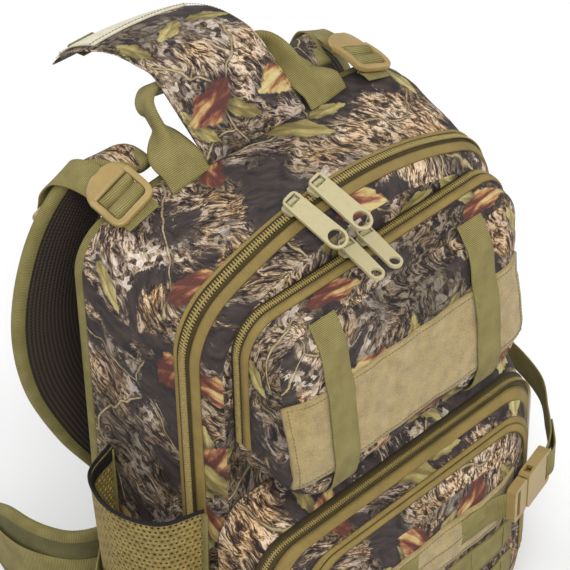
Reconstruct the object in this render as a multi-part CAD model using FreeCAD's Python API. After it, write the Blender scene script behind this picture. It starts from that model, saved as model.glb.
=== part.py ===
import FreeCAD, Part
import math
import os
from FreeCAD import Vector as V

# Hunting backpack: one main compartment with an arched zip, two zipped front pockets, two mesh bottle
# pockets, a padded harness, a hip belt, a carry handle and an open closure flap.
# Millimetres. +Z is up, the wearer's side faces +Y, the pockets face -Y.
# The origin is the centre of the base panel that the pack stands on.

# ---- driving dimensions ----
TOP = 456.0                 # height of the top seam at the middle
HALF_WIDTH = 150.0          # half width of the body at the main zip
BACK_HALF_WIDTH = 157.0     # half width of the body at the back seam
BACK_Y = 60.0               # wearer's side of the back panel
PANEL_Y = 47.0              # where the back panel meets the bag
SEAM_Y = 30.0               # seam that carries the handle and the flap
ZIP_Y = -46.0               # plane of the main zip
FRONT_Y = -70.0             # front of the main compartment
CROWN_R = 300.0             # the zip's top run is an arc of this radius
CORNER_R = 50.0             # the zip's upper corners
BACK_CROWN_R = 900.0        # the back seam is flatter on top
BACK_CORNER_R = 34.0        # and tighter at its corners
WALL = 3.0                  # padded cloth wall
GAP = 0.4                   # clearance between pieces that move apart

UPPER_TOP, UPPER_BOTTOM = TOP - 38.0, TOP - 196.0
UPPER_HALF, UPPER_FRONT_Y, UPPER_ZIP_Y = 127.0, -120.0, -76.0
LOWER_TOP, LOWER_BOTTOM = TOP - 195.0, 8.0
LOWER_HALF, LOWER_FRONT_Y, LOWER_ZIP_Y = 145.0, -142.0, -106.0

WEB = 25.0                  # narrow webbing
WIDE_WEB = 38.0             # handle and belt webbing
WEB_T = 1.8                 # webbing thickness
COIL = 2.6                  # how far a zip stands off the cloth
MAIN_PULL = (52.0, 14.0, 16.5)       # length, width at the eye, width at the tip
SMALL_PULL = (42.0, 12.4, 11.6)

BOTTLE_RIM, BOTTLE_FLOOR = TOP - 188.0, 24.0
BELT_LOW, BELT_HIGH = 62.0, 142.0


# ---- building helpers ----
def box(x0, x1, y0, y1, z0, z1):
    return Part.makeBox(x1 - x0, y1 - y0, z1 - z0, V(x0, y0, z0))


def line(a, b):
    return Part.LineSegment(a, b).toShape()


def arc(a, b, c):
    return Part.Arc(a, b, c).toShape()


def arch_wire(y, half, top, crown=CROWN_R, corner=CORNER_R, bottom=0.0, foot=16.0):
    """Upright outline: flat bottom, straight sides, rounded shoulders and a slightly domed top."""
    cx = half - corner
    cz = top - crown + math.sqrt((crown - corner) ** 2 - cx ** 2)
    lean = math.atan2(cx, cz - (top - crown))
    tx = crown * math.sin(lean)
    tz = top - crown + crown * math.cos(lean)
    mid = (math.pi / 2 - lean) / 2
    mx, mz = cx + corner * math.cos(mid), cz + corner * math.sin(mid)
    fx, fz = half - foot * (1 - math.sqrt(0.5)), bottom + foot * (1 - math.sqrt(0.5))
    edges = [
        line(V(-half, y, bottom + foot), V(-half, y, cz)),
        arc(V(-half, y, cz), V(-mx, y, mz), V(-tx, y, tz)),
        arc(V(-tx, y, tz), V(0, y, top), V(tx, y, tz)),
        arc(V(tx, y, tz), V(mx, y, mz), V(half, y, cz)),
        line(V(half, y, cz), V(half, y, bottom + foot)),
        arc(V(half, y, bottom + foot), V(fx, y, fz), V(half - foot, y, bottom)),
        line(V(half - foot, y, bottom), V(foot - half, y, bottom)),
        arc(V(foot - half, y, bottom), V(-fx, y, fz), V(-half, y, bottom + foot)),
    ]
    return Part.Wire(edges)


def pocket_wire(y, half, top, bottom, r_top, r_bottom):
    """Upright rounded rectangle with its own top and bottom corner radii."""
    k = 1 - math.sqrt(0.5)
    edges = [
        line(V(-half, y, bottom + r_bottom), V(-half, y, top - r_top)),
        arc(V(-half, y, top - r_top), V(-half + k * r_top, y, top - k * r_top), V(-half + r_top, y, top)),
        line(V(-half + r_top, y, top), V(half - r_top, y, top)),
        arc(V(half - r_top, y, top), V(half - k * r_top, y, top - k * r_top), V(half, y, top - r_top)),
        line(V(half, y, top - r_top), V(half, y, bottom + r_bottom)),
        arc(V(half, y, bottom + r_bottom), V(half - k * r_bottom, y, bottom + k * r_bottom),
            V(half - r_bottom, y, bottom)),
        line(V(half - r_bottom, y, bottom), V(-half + r_bottom, y, bottom)),
        arc(V(-half + r_bottom, y, bottom), V(-half + k * r_bottom, y, bottom + k * r_bottom),
            V(-half, y, bottom + r_bottom)),
    ]
    return Part.Wire(edges)


def loft(wires):
    return Part.makeLoft(wires, True, True)


def slab(wire_of, y0, y1):
    """Straight prism between two copies of an outline."""
    return loft([wire_of(y0), wire_of(y1)])


def between(a, b, t):
    return (a[0] + (b[0] - a[0]) * t, a[1] + (b[1] - a[1]) * t)


def offset_line(points, distance):
    """Line of 2-D points moved sideways, to its left when the distance is positive."""
    normals = []
    for a, b in zip(points, points[1:]):
        length = math.hypot(b[0] - a[0], b[1] - a[1])
        normals.append(((a[1] - b[1]) / length, (b[0] - a[0]) / length))
    offsets = []
    for i in range(len(points)):
        before = normals[max(i - 1, 0)]
        after = normals[min(i, len(normals) - 1)]
        nx, nz = before[0] + after[0], before[1] + after[1]
        scale = (nx * before[0] + nz * before[1])
        offsets.append((nx / scale, nz / scale))
    return [(p[0] + distance * n[0], p[1] + distance * n[1]) for p, n in zip(points, offsets)]


def ribbon(points, thick):
    """Closed flat outline that follows a line of 2-D points at constant thickness."""
    return offset_line(points, thick / 2) + offset_line(points, -thick / 2)[::-1]


def prism(outline, to_3d, direction):
    """Extrudes a 2-D outline; to_3d places its points, direction is the extrusion vector."""
    points = [to_3d(p) for p in outline]
    return Part.Face(Part.makePolygon(points + points[:1])).extrude(direction)


def strap_yz(points, thick, x0, x1):
    """Strap whose route lies in a YZ plane, with its width along X."""
    return prism(ribbon(points, thick), lambda p: V(x0, p[0], p[1]), V(x1 - x0, 0, 0))


def strap_xz(points, thick, y0, y1):
    """Strap whose route lies in an XZ plane, with its width along Y."""
    return prism(ribbon(points, thick), lambda p: V(p[0], y0, p[1]), V(0, y1 - y0, 0))


def strap_xy(points, thick, z0, z1):
    """Strap whose route lies in an XY plane, with its width along Z."""
    return prism(ribbon(points, thick), lambda p: V(p[0], p[1], z0), V(0, 0, z1 - z0))


def placed(shape, origin, x_dir, y_dir):
    """Moves a shape from its own axes to an origin and two directions at right angles."""
    x_dir = V(x_dir).normalize()
    z_dir = x_dir.cross(V(y_dir)).normalize()
    rotation = FreeCAD.Rotation(x_dir, z_dir.cross(x_dir), z_dir, "XYZ")
    copy = shape.copy()
    copy.Placement = FreeCAD.Placement(V(origin), rotation).multiply(copy.Placement)
    return copy


def mirrored(shape):
    return shape.mirror(V(0, 0, 0), V(1, 0, 0))


def plate(length, width, thick, radius):
    """Flat plate from x = 0 to length, centred on Y, with rounded upright corners."""
    body = box(0, length, -width / 2, width / 2, -thick / 2, thick / 2)
    uprights = [e for e in body.Edges if abs(e.Vertexes[0].Z - e.Vertexes[1].Z) > thick / 2]
    return body.makeFillet(radius, uprights)


NODES = {}


def pair(name, right_shape):
    """Stores a piece and its mirror image as NAME_right and NAME_left."""
    NODES[name + "_right"] = right_shape
    NODES[name + "_left"] = mirrored(right_shape)


# ---- bag ----
def bag_sections(inset):
    return [
        arch_wire(PANEL_Y - inset, BACK_HALF_WIDTH - inset, TOP - inset, BACK_CROWN_R, BACK_CORNER_R, 3.0 + inset),
        arch_wire(SEAM_Y, BACK_HALF_WIDTH - inset, TOP + 2 - inset, BACK_CROWN_R, BACK_CORNER_R, 3.0 + inset),
        arch_wire(ZIP_Y, HALF_WIDTH - inset, TOP - inset, CROWN_R, CORNER_R, 3.0 + inset),
    ]


def front_panel():
    def sections(inset, y_open):
        return [
            arch_wire(y_open, HALF_WIDTH - 1 - inset, TOP - 1 - inset, bottom=4.0 + inset),
            arch_wire(-62.0, HALF_WIDTH - 5 - inset, TOP - 7 - inset, bottom=4.0 + inset),
            arch_wire(FRONT_Y + inset, HALF_WIDTH - 13 - inset, TOP - 17 - inset, bottom=8.0 + inset),
        ]
    return loft(sections(0, ZIP_Y - GAP)).cut(loft(sections(WALL, ZIP_Y + 1)))


def rear_bag():
    inner = bag_sections(WALL)
    inner.append(arch_wire(ZIP_Y - 2, HALF_WIDTH - WALL, TOP - WALL, CROWN_R, CORNER_R, 3.0 + WALL))
    return loft(bag_sections(0)).cut(loft(inner))


def back_panel():
    def outline(y):
        return arch_wire(y, BACK_HALF_WIDTH - 1, TOP - 2, BACK_CROWN_R, BACK_CORNER_R, 10.0)
    return slab(outline, PANEL_Y, BACK_Y)


def frame_sheet():
    def outline(y):
        return arch_wire(y, 128.0, TOP - 36, BACK_CROWN_R, BACK_CORNER_R, 30.0)
    return slab(outline, PANEL_Y - 7.5, PANEL_Y - 6)


def hydration_sleeve():
    outer = box(-95, 95, 14, 34, 60, 350)
    return outer.cut(box(-93.5, 93.5, 15.5, 32.5, 61.5, 351))


NODES["rear_bag"] = rear_bag()
NODES["front_panel"] = front_panel()
NODES["back_panel"] = back_panel()
NODES["base_panel"] = box(-132, 132, -60, 58, 0, 3)
NODES["frame_sheet"] = frame_sheet()
NODES["hydration_sleeve"] = hydration_sleeve()


# ---- main zip ----
def zip_ring(outline, under, y_mid, width, z_low):
    """Zip chain and tape: a band between two outlines, down to a given height on both sides."""
    outer = loft([outline(y_mid - width / 2, COIL), outline(y_mid + width / 2, COIL)])
    inner = loft([under(y_mid - width / 2 - 1, 0), under(y_mid + width / 2 + 1, 0)])
    return outer.cut(inner).common(box(-300, 300, -300, 300, z_low, TOP + 50))


def main_outline(y, grow):
    return arch_wire(y, HALF_WIDTH + 1 + grow, TOP + 1 + grow, CROWN_R + 1 + grow, CORNER_R + 1 + grow)


def gusset_outline(y, grow):
    """Outline of the gusset at this depth, a millimetre proud, which the tape lies on."""
    t = max(0.0, (y - ZIP_Y) / (SEAM_Y - ZIP_Y))
    half = HALF_WIDTH + (BACK_HALF_WIDTH - HALF_WIDTH) * t
    crown = CROWN_R + (BACK_CROWN_R - CROWN_R) * t
    corner = CORNER_R + (BACK_CORNER_R - CORNER_R) * t
    return arch_wire(y, half + 1 + grow, TOP + 1 + 2 * t + grow, crown + 1 + grow, corner + 1 + grow)


NODES["main_zip"] = zip_ring(main_outline, gusset_outline, ZIP_Y - 1.5, 9.0, 70.0)

SLIDER_L, SLIDER_W = 15.0, 11.0
BAIL_H = 8.4                # top of the bail above the coil
BAIL_BAR = 1.7              # thickness of its bar
BAIL_HALF = 4.4             # half its length along the travel
PULL_T = 2.2
PULL_RIM = 2.0              # metal left round the hole in the pull's tip
EYE_WALL = 2.0              # and behind its eye
EYE_LONG, EYE_SHORT = 5.0, 2.9       # half sizes of the pull's eye along and across the bail


def slider(small=False):
    """Zip slider in its own axes: travels along X, width along Y, coil top at z = 0, bail above."""
    length, width = (12.0, 9.5) if small else (SLIDER_L, SLIDER_W)
    body = plate(length, width, 2.4, 3.0)
    body.translate(V(-length / 2, 0, GAP + 1.2))
    bail = box(-BAIL_HALF, BAIL_HALF, -1.5, 1.5, GAP + 1.2, BAIL_H)
    shoulders = [e for e in bail.Edges if e.CenterOfMass.z > BAIL_H - 0.1 and abs(e.CenterOfMass.x) > 4]
    bail = bail.makeFillet(2.0, shoulders)
    inside = BAIL_HALF - BAIL_BAR
    bail = bail.cut(box(-inside, inside, -2, 2, 0, BAIL_H - BAIL_BAR))
    return body.fuse(bail).removeSplitter()


def puller(length, neck, tip, eye_x, eye_y):
    """Pull in its own axes: the bail runs through its eye round x = 0, the round tip with its hole is at +X."""
    start = -eye_x - EYE_WALL
    centre = start + length - tip / 2
    outline = [V(start, -neck / 2, 0), V(centre, -tip / 2, 0), V(centre, tip / 2, 0), V(start, neck / 2, 0)]
    body = Part.Face(Part.makePolygon(outline + outline[:1])).extrude(V(0, 0, PULL_T))
    ends = [e for e in body.Edges if e.Length < PULL_T + 0.1 and e.CenterOfMass.x < start + 0.1]
    body = body.makeFillet(neck * 0.3, ends)
    body = body.fuse(Part.makeCylinder(tip / 2, PULL_T, V(centre, 0, 0)))
    body = body.cut(Part.makeCylinder(tip / 2 - PULL_RIM, PULL_T, V(centre, 0, 0)))
    body.translate(V(0, 0, -PULL_T / 2))
    eye = box(-eye_x, eye_x, -eye_y, eye_y, -PULL_T, PULL_T)
    return body.cut(eye).removeSplitter()


def main_slider_frame(x):
    """Point on the outside of the top run, with its travel direction."""
    lean = math.asin(x / CROWN_R)
    reach = CROWN_R + 1 + COIL
    point = V(reach * math.sin(lean), ZIP_Y, TOP - CROWN_R + reach * math.cos(lean))
    return point, V(math.cos(lean), 0, -math.sin(lean))


def add_slider(name, origin, travel, across, small, pull, pull_dir, skew):
    """One slider with its pull: the pull turns on the bail about the travel direction."""
    NODES[name] = placed(slider(small), origin, travel, across)
    up = V(travel).cross(V(across)).normalize()
    eye = V(origin) + up * (BAIL_H - BAIL_BAR / 2)
    direction = FreeCAD.Rotation(up, skew).multVec(V(pull_dir).normalize())
    along = abs(V(travel).dot(direction)) > 0.9
    side = V(across) if along else V(travel) - direction * V(travel).dot(direction)
    eye_x, eye_y = (EYE_LONG, EYE_SHORT) if along else (EYE_SHORT, EYE_LONG)
    NODES[name.replace("slider", "pull")] = placed(puller(*pull, eye_x, eye_y), eye, direction, side)


for side_name, x_at, skew in (("left", -43.0, 12.0), ("right", -19.0, 11.0)):
    at, along = main_slider_frame(x_at)
    add_slider("main_slider_" + side_name, at, along, V(0, 1, 0), False,
               MAIN_PULL, V(0, -0.882, -0.471), skew)


# ---- upper pocket ----
def upper_sections(inset):
    low = UPPER_BOTTOM + inset
    return [
        pocket_wire(FRONT_Y - GAP, UPPER_HALF + 1.5 - inset, UPPER_TOP + 2.5 - inset, low + 2, 26, 58),
        pocket_wire(-81.0, UPPER_HALF + 1.5 - inset, UPPER_TOP + 2.5 - inset, low + 2, 26, 58),
        pocket_wire(-113.0, UPPER_HALF - inset, TOP - 43 - inset, low + 6, 22, 40),
        pocket_wire(UPPER_FRONT_Y + inset, UPPER_HALF - 6 - inset, TOP - 50 - inset, low + 14, 18, 32),
    ]


def upper_outline(y, grow):
    return pocket_wire(y, UPPER_HALF + 2 + grow, UPPER_TOP + 3 + grow, UPPER_BOTTOM, 26.5 + grow, 55)


NODES["upper_pocket"] = loft(upper_sections(0)).cut(loft(upper_sections(WALL)))
NODES["upper_zip"] = zip_ring(upper_outline, upper_outline, UPPER_ZIP_Y, 9.0, TOP - 150)
for side_name, x_at, skew in (("left", -23.0, -6.0), ("right", -5.0, -6.0)):
    at = V(x_at, UPPER_ZIP_Y, UPPER_TOP + 3 + COIL)
    add_slider("upper_slider_" + side_name, at, V(1, 0, 0), V(0, 1, 0), True,
               SMALL_PULL, V(0, -0.975, -0.22), skew)

LOOP_Z = (TOP - 166.0, TOP - 98.0)
NODES["loop_panel"] = box(-119, 119, UPPER_FRONT_Y - 2.8, UPPER_FRONT_Y - GAP, *LOOP_Z)
WEB_X = 74.0
web_route = [(-112, TOP - 41.5), (-118, TOP - 44), (-124.2, TOP - 54), (-124.2, UPPER_BOTTOM + 22),
             (-118, UPPER_BOTTOM + 5)]
front_webs = [strap_yz(web_route, WEB_T, s * WEB_X - WEB / 2, s * WEB_X + WEB / 2) for s in (-1, 1)]
NODES["pocket_webbing"] = Part.makeCompound(front_webs)


# ---- lower pocket ----
def lower_sections(inset):
    low = LOWER_BOTTOM + inset
    return [
        pocket_wire(FRONT_Y - GAP, LOWER_HALF + 6 - inset, LOWER_TOP - inset, low, 30, 30),
        pocket_wire(LOWER_ZIP_Y, LOWER_HALF - inset, TOP - 221 - inset, low + 6, 30, 34),
        pocket_wire(-128.0, LOWER_HALF - 27 - inset, TOP - 235 - inset, low + 22, 28, 44),
        pocket_wire(LOWER_FRONT_Y + inset, LOWER_HALF - 53 - inset, TOP - 250 - inset, low + 42, 22, 44),
    ]


def lower_outline(y, grow):
    return pocket_wire(y, LOWER_HALF + 1 + grow, TOP - 217 + grow, LOWER_BOTTOM, 31.2 + grow, 30)


def piping_outline(y, grow):
    return pocket_wire(y, LOWER_HALF - 24.5 + grow, TOP - 233 + grow, LOWER_BOTTOM, 28 + grow, 30)


NODES["lower_pocket"] = loft(lower_sections(0)).cut(loft(lower_sections(WALL)))
NODES["lower_zip"] = zip_ring(lower_outline, lower_outline, LOWER_ZIP_Y, 9.0, 60.0)
NODES["lower_piping"] = zip_ring(piping_outline, piping_outline, -128.0, 4.0, 80.0)
add_slider("lower_slider", V(-LOWER_HALF - 1 - COIL, LOWER_ZIP_Y, 112.0), V(0, 0, 1), V(0, 1, 0), True,
           SMALL_PULL, V(0, 0, -1), 0.0)

BAND_Z = (TOP - 306.0, TOP - 268.0)
BAND_Y = LOWER_FRONT_Y - GAP
BAND_HALF = 90.0
NODES["lower_loop_band"] = box(-BAND_HALF, BAND_HALF, BAND_Y - 2.4, BAND_Y, *BAND_Z)
ROW_TOPS = [TOP - 314.0 - 38.0 * i for i in range(3)]
rows = [box(-BAND_HALF, BAND_HALF, BAND_Y - WEB_T, BAND_Y, z - WEB, z) for z in ROW_TOPS]
NODES["ladder_webbing"] = Part.makeCompound(rows)


# ---- mesh bottle pockets ----
def bottle_wire(z, x_wall, bulge, y_front, y_back, inset):
    """D outline: flat against the bag side, bowed outwards by the bulge."""
    x_in = x_wall + (1.0 if inset else 0.0)
    ys, ye = y_front + inset, y_back - inset
    mid = (ys + ye) / 2
    reach = x_wall + bulge - inset
    quarter = x_wall + (bulge - inset) * 0.72
    span = (ye - ys) * 0.36
    edges = [
        arc(V(x_in, ys, z), V(quarter, mid - span, z), V(reach, mid, z)),
        arc(V(reach, mid, z), V(quarter, mid + span, z), V(x_in, ye, z)),
        line(V(x_in, ye, z), V(x_in, ys, z)),
    ]
    return Part.Wire(edges)


def bottle_pocket():
    wall = BACK_HALF_WIDTH + 1.5
    outer = loft([bottle_wire(BOTTLE_FLOOR, wall, 26, -52, 24, 0),
                  bottle_wire(110.0, wall, 34, -62, 28, 0),
                  bottle_wire(BOTTLE_RIM, wall, 44, -68, 30, 0)])
    inner = loft([bottle_wire(BOTTLE_FLOOR + 1.6, wall, 26, -52, 24, 1.6),
                  bottle_wire(110.0, wall, 34, -62, 28, 1.6),
                  bottle_wire(BOTTLE_RIM + 0.5, wall, 44, -68, 30, 1.6)])
    return outer.cut(inner)


def bottle_rim():
    wall = BACK_HALF_WIDTH + 1.5
    low, high = BOTTLE_RIM + 0.1, BOTTLE_RIM + 5
    outer = loft([bottle_wire(low, wall, 44.4, -68, 30, 0), bottle_wire(high, wall, 44, -68, 30, 0)])
    inner = loft([bottle_wire(low - 1, wall, 44, -68, 30, 3), bottle_wire(high + 1, wall, 44, -68, 30, 3)])
    return outer.cut(inner)


pair("bottle_pocket", bottle_pocket())
pair("bottle_rim", bottle_rim())


# ---- carry handle and flap ----
HANDLE_X = 70.0
HANDLE_LEAN = 58.0          # degrees back from upright


def handle():
    """Webbing arch built upright on the seam, then leaned back towards the wearer."""
    route = [(-HANDLE_X, 15), (-HANDLE_X + 1, 34), (-HANDLE_X + 8, 58), (-44, 68), (44, 68),
             (HANDLE_X - 8, 58), (HANDLE_X - 1, 34), (HANDLE_X, 15)]
    arch = strap_xz(route, 3.0, -9, 9)
    arch.rotate(V(0, 0, 0), V(1, 0, 0), -HANDLE_LEAN)
    arch.translate(V(0, SEAM_Y, TOP))
    return arch


NODES["carry_handle"] = handle()

FLAP_X0, FLAP_X1 = -49.0, 46.0
flap_route = [(0, 3.4), (19, 21), (45, 48), (64, 57), (82, 58), (104, 53), (142, 37), (168, 12)]
FLAP_ROUTE = [(SEAM_Y + y, TOP + z) for y, z in flap_route]
NODES["flap"] = strap_yz(FLAP_ROUTE, 2.6, FLAP_X0, FLAP_X1)
strip_line = [between(FLAP_ROUTE[-3], FLAP_ROUTE[-2], 0.66), FLAP_ROUTE[-2],
              between(FLAP_ROUTE[-2], FLAP_ROUTE[-1], 0.55)]
NODES["flap_hook_strip"] = strap_yz(offset_line(strip_line, 2.4), 1.6, FLAP_X0 + 5, FLAP_X1 - 5)
tab_route = [(SEAM_Y + y, TOP + z) for y, z in ((170.5, 11), (182, 4), (194, 2))]
NODES["flap_pull_tab"] = strap_yz(tab_route, 2.2, -26, -2)


# ---- ladder locks and load lifters ----
LOCK_T = 3.6


def ladder_lock(width, length):
    """Strap adjuster in its own axes: X across the strap, Y along it; a lifting tab at +Y."""
    body = plate(length, width, LOCK_T, 4.0)
    body.rotate(V(0, 0, 0), V(0, 0, 1), 90)
    for start in (3.6, 14.2):
        body = body.cut(box(-width / 2 + 4.4, width / 2 - 4.4, start, start + 7.0, -4, 4))
    body = body.cut(box(-width / 2 + 4.4, width / 2 - 4.4, 24.6, 27.6, -4, 4))
    tab = plate(12.0, width - 3, 3.0, 5.5)
    tab.rotate(V(0, 0, 0), V(0, 0, 1), 90)
    tab.translate(V(0, -6, 0))
    tab.rotate(V(0, 0, 0), V(1, 0, 0), 18)
    tab.translate(V(0, length, 0))
    return body.fuse(tab).removeSplitter()


LOCK_AT = V(118.0, 27.6, TOP + 1.0)
LOCK_ACROSS = V(math.cos(math.radians(22)), 0, -math.sin(math.radians(22)))
LOCK_ALONG = V(0, math.cos(math.radians(14)), math.sin(math.radians(14)))
pair("ladder_lock", placed(ladder_lock(39.0, 32.0), LOCK_AT, LOCK_ACROSS, LOCK_ALONG))


def lock_anchor():
    """Short webbing sewn at the top corner that holds the ladder lock's front bar."""
    anchor = box(-14, 14, -2, 3.0, -1.2, 0.6)
    return placed(anchor, LOCK_AT - V(0, 4.4, 3.3), LOCK_ACROSS, LOCK_ALONG)


NODES["lock_anchors"] = Part.makeCompound([lock_anchor(), mirrored(lock_anchor())])


# ---- shoulder straps ----
STRAP_Y = 100.0
STRAP_T = 15.0
STRAP_W = 62.0


def shoulder_pad():
    """S-shaped pad behind the pack with a curved root that rises over the back panel's top."""
    centre = [(100, TOP - 8), (128, TOP - 52), (146, TOP - 104), (143, TOP - 158), (122, TOP - 214),
              (100, TOP - 262), (86, TOP - 300)]
    pad = strap_xz(centre, STRAP_W, STRAP_Y - STRAP_T / 2, STRAP_Y + STRAP_T / 2)
    root_route = [(BACK_Y + 4, TOP + 5), (BACK_Y + 16, TOP + 8), (BACK_Y + 32, TOP + 3), (STRAP_Y, TOP - 16)]
    root = strap_yz(root_route, 10.0, 73, 99)
    return pad.fuse(root).removeSplitter()


pair("shoulder_strap", shoulder_pad())


def triglide(width):
    """Two-slot slider in its own axes: X across the strap, Y along it."""
    body = plate(20.0, width, 3.2, 4.0)
    body.rotate(V(0, 0, 0), V(0, 0, 1), 90)
    body.translate(V(0, -10, 0))
    for start in (-7.2, 1.8):
        body = body.cut(box(-width / 2 + 4, width / 2 - 4, start, start + 5.4, -4, 4))
    return body


lifter_slide_at = V(124.0, STRAP_Y + STRAP_T / 2 + 3.2, TOP - 34.0)
pair("lifter_slide", placed(triglide(36.0), lifter_slide_at, V(1, 0, -0.5), V(-0.5, 0, -1)))
pair("strap_adjuster", placed(triglide(34.0), V(83.0, STRAP_Y + STRAP_T / 2 + 2.4, TOP - 312.0),
                              V(1, 0, 0), V(0, 0, -1)))
lower_web = strap_yz([(99.0, TOP - 334.0), (92.0, 78.0), (80.0, 54.0), (64.0, 40.0)], WEB_T, 70, 70 + WEB)
pair("strap_webbing", lower_web)


# ---- hip belt ----
WING_T = 13.0
WING_ROUTE = [(114, BACK_Y + 9.2), (138, BACK_Y + 13), (160, BACK_Y + 28), (172, BACK_Y + 62),
              (170, BACK_Y + 104)]
BELT_MID = (BELT_LOW + BELT_HIGH) / 2
BELT_END = (178.0, BACK_Y + 136.0)


def hip_wing():
    return strap_xy(WING_ROUTE, WING_T, BELT_LOW, BELT_HIGH)


def belt_webbing():
    """Belt strap laid along the outside of the wing and on to the buckle."""
    route = offset_line(WING_ROUTE[1:], -(WING_T + WEB_T) / 2 - GAP) + [BELT_END]
    return strap_xy(route, WEB_T, BELT_MID - WIDE_WEB / 2, BELT_MID + WIDE_WEB / 2)


def side_release_socket(width, length):
    """Socket in its own axes: mouth at x = 0, webbing bar at x = length; width along Y."""
    body = plate(length, width * 1.35, 9.0, 4.0)
    bay = box(-1, width * 0.62, -width * 0.56, width * 0.56, -2.6, 2.6)
    window = box(width * 0.16, width * 0.46, -width, width, -2.6, 2.6)
    slot = box(length - width * 0.29, length - width * 0.13, -width / 2, width / 2, -6, 6)
    return body.cut(bay).cut(window).cut(slot)


def side_release_plug(width, base_length):
    """Plug in its own axes: its prongs point along +X into a socket whose mouth is at x = 0."""
    base = plate(base_length, width * 1.3, 7.5, 4.0)
    base.translate(V(-base_length - 0.6, 0, 0))
    slot = box(width * 0.14, width * 0.34, -width / 2, width / 2, -6, 6)
    slot.translate(V(-base_length, 0, 0))
    base = base.cut(slot)
    tongue = box(-2, width * 0.52, -2.2, 2.2, -1.9, 1.9)
    prongs = []
    for s in (-1, 1):
        outline = [(-2, s * width * 0.34), (width * 0.22, s * width * 0.36), (width * 0.26, s * width * 0.54),
                   (width * 0.42, s * width * 0.50), (width * 0.55, s * width * 0.34),
                   (width * 0.52, s * width * 0.22), (-2, s * width * 0.24)]
        prongs.append(prism(outline, lambda p: V(p[0], p[1], -2.0), V(0, 0, 4.0)))
    return base.fuse(tongue).fuse(prongs[0]).fuse(prongs[1]).removeSplitter()


pair("hip_wing", hip_wing())
pair("belt_webbing", belt_webbing())
belt_run = V(0, 1, 0)
belt_end = V(*BELT_END, BELT_MID)
BELT_SOCKET, BELT_PLUG = WIDE_WEB * 1.15, WIDE_WEB * 0.52
socket_at = belt_end + belt_run * (BELT_SOCKET + GAP)
NODES["belt_socket"] = placed(side_release_socket(WIDE_WEB, BELT_SOCKET), socket_at, -belt_run, V(0, 0, 1))
plug_at = belt_end + belt_run * (BELT_PLUG + 0.6 + GAP)
NODES["belt_plug"] = mirrored(placed(side_release_plug(WIDE_WEB, BELT_PLUG), plug_at, belt_run, V(0, 0, -1)))


# ---- compression straps ----
STRAP_Z = TOP - 284.0
BUCKLE_AT = V(90.0, -150.6, STRAP_Z)
BUCKLE_RUN = V(math.cos(math.radians(14)), math.sin(math.radians(14)), 0)


def compression_webbing():
    """Strap round the bag side, outside the bottle pocket, from the back seam to the socket."""
    route = [(BACK_HALF_WIDTH + 3, 44), (BACK_HALF_WIDTH + 16, 30), (BACK_HALF_WIDTH + 50, -2),
             (BACK_HALF_WIDTH + 50, -36), (BACK_HALF_WIDTH + 34, -82), (BACK_HALF_WIDTH + 9, -110),
             (BACK_HALF_WIDTH - 10, -130), (BACK_HALF_WIDTH - 28, -139.8)]
    return strap_xy(route, WEB_T, STRAP_Z - WEB / 2, STRAP_Z + WEB / 2)


def anchor_webbing():
    route = [(26, LOWER_FRONT_Y - 5.6), (54, LOWER_FRONT_Y - 5.6), (67, LOWER_FRONT_Y - 10)]
    return strap_xy(route, WEB_T, STRAP_Z - WEB / 2, STRAP_Z + WEB / 2)


pair("compression_socket", placed(side_release_socket(WEB, WEB * 1.5), BUCKLE_AT, BUCKLE_RUN, V(0, 0, 1)))
pair("compression_plug", placed(side_release_plug(WEB, WEB * 0.8), BUCKLE_AT, BUCKLE_RUN, V(0, 0, 1)))
pair("compression_webbing", compression_webbing())
NODES["buckle_anchors"] = Part.makeCompound([anchor_webbing(), mirrored(anchor_webbing())])

# ---- output ----
os.makedirs("parts", exist_ok=True)
for node, shape in sorted(NODES.items()):
    shape.exportStep("parts/" + node + ".step")
    print(node, round(shape.Volume / 1000.0, 1), "cm3", "valid" if shape.isValid() else "INVALID",
          len(shape.Solids), "solids")
print(len(NODES), "nodes")
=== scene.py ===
import math

import bmesh
import bpy
import numpy as np
from mathutils import Matrix, Vector, noise
from mathutils.bvhtree import BVHTree


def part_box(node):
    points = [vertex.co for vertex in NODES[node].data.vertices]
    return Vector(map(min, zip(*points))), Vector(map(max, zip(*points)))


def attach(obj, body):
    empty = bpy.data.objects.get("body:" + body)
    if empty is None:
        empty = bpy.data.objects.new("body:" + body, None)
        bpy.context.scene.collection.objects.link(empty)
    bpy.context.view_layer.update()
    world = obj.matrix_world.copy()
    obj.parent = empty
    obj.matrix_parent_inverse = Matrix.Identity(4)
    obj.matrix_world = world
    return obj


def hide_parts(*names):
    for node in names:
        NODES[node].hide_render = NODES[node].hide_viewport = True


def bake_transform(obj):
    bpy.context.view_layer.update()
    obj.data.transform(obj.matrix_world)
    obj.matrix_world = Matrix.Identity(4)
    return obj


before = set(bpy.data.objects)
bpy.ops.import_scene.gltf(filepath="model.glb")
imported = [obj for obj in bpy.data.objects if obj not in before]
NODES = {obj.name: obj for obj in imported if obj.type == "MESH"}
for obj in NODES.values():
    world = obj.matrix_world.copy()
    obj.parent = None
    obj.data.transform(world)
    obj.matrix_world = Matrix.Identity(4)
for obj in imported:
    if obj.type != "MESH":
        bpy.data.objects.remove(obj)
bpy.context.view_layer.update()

# The looks of the hunting backpack. Lengths are in millimetres in this script and become metres in mesh().
MM = 0.001


def corners(node):
    """Lowest and highest corner of a CAD node, in millimetres."""
    low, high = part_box(node)
    return np.array(low) / MM, np.array(high) / MM


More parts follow.
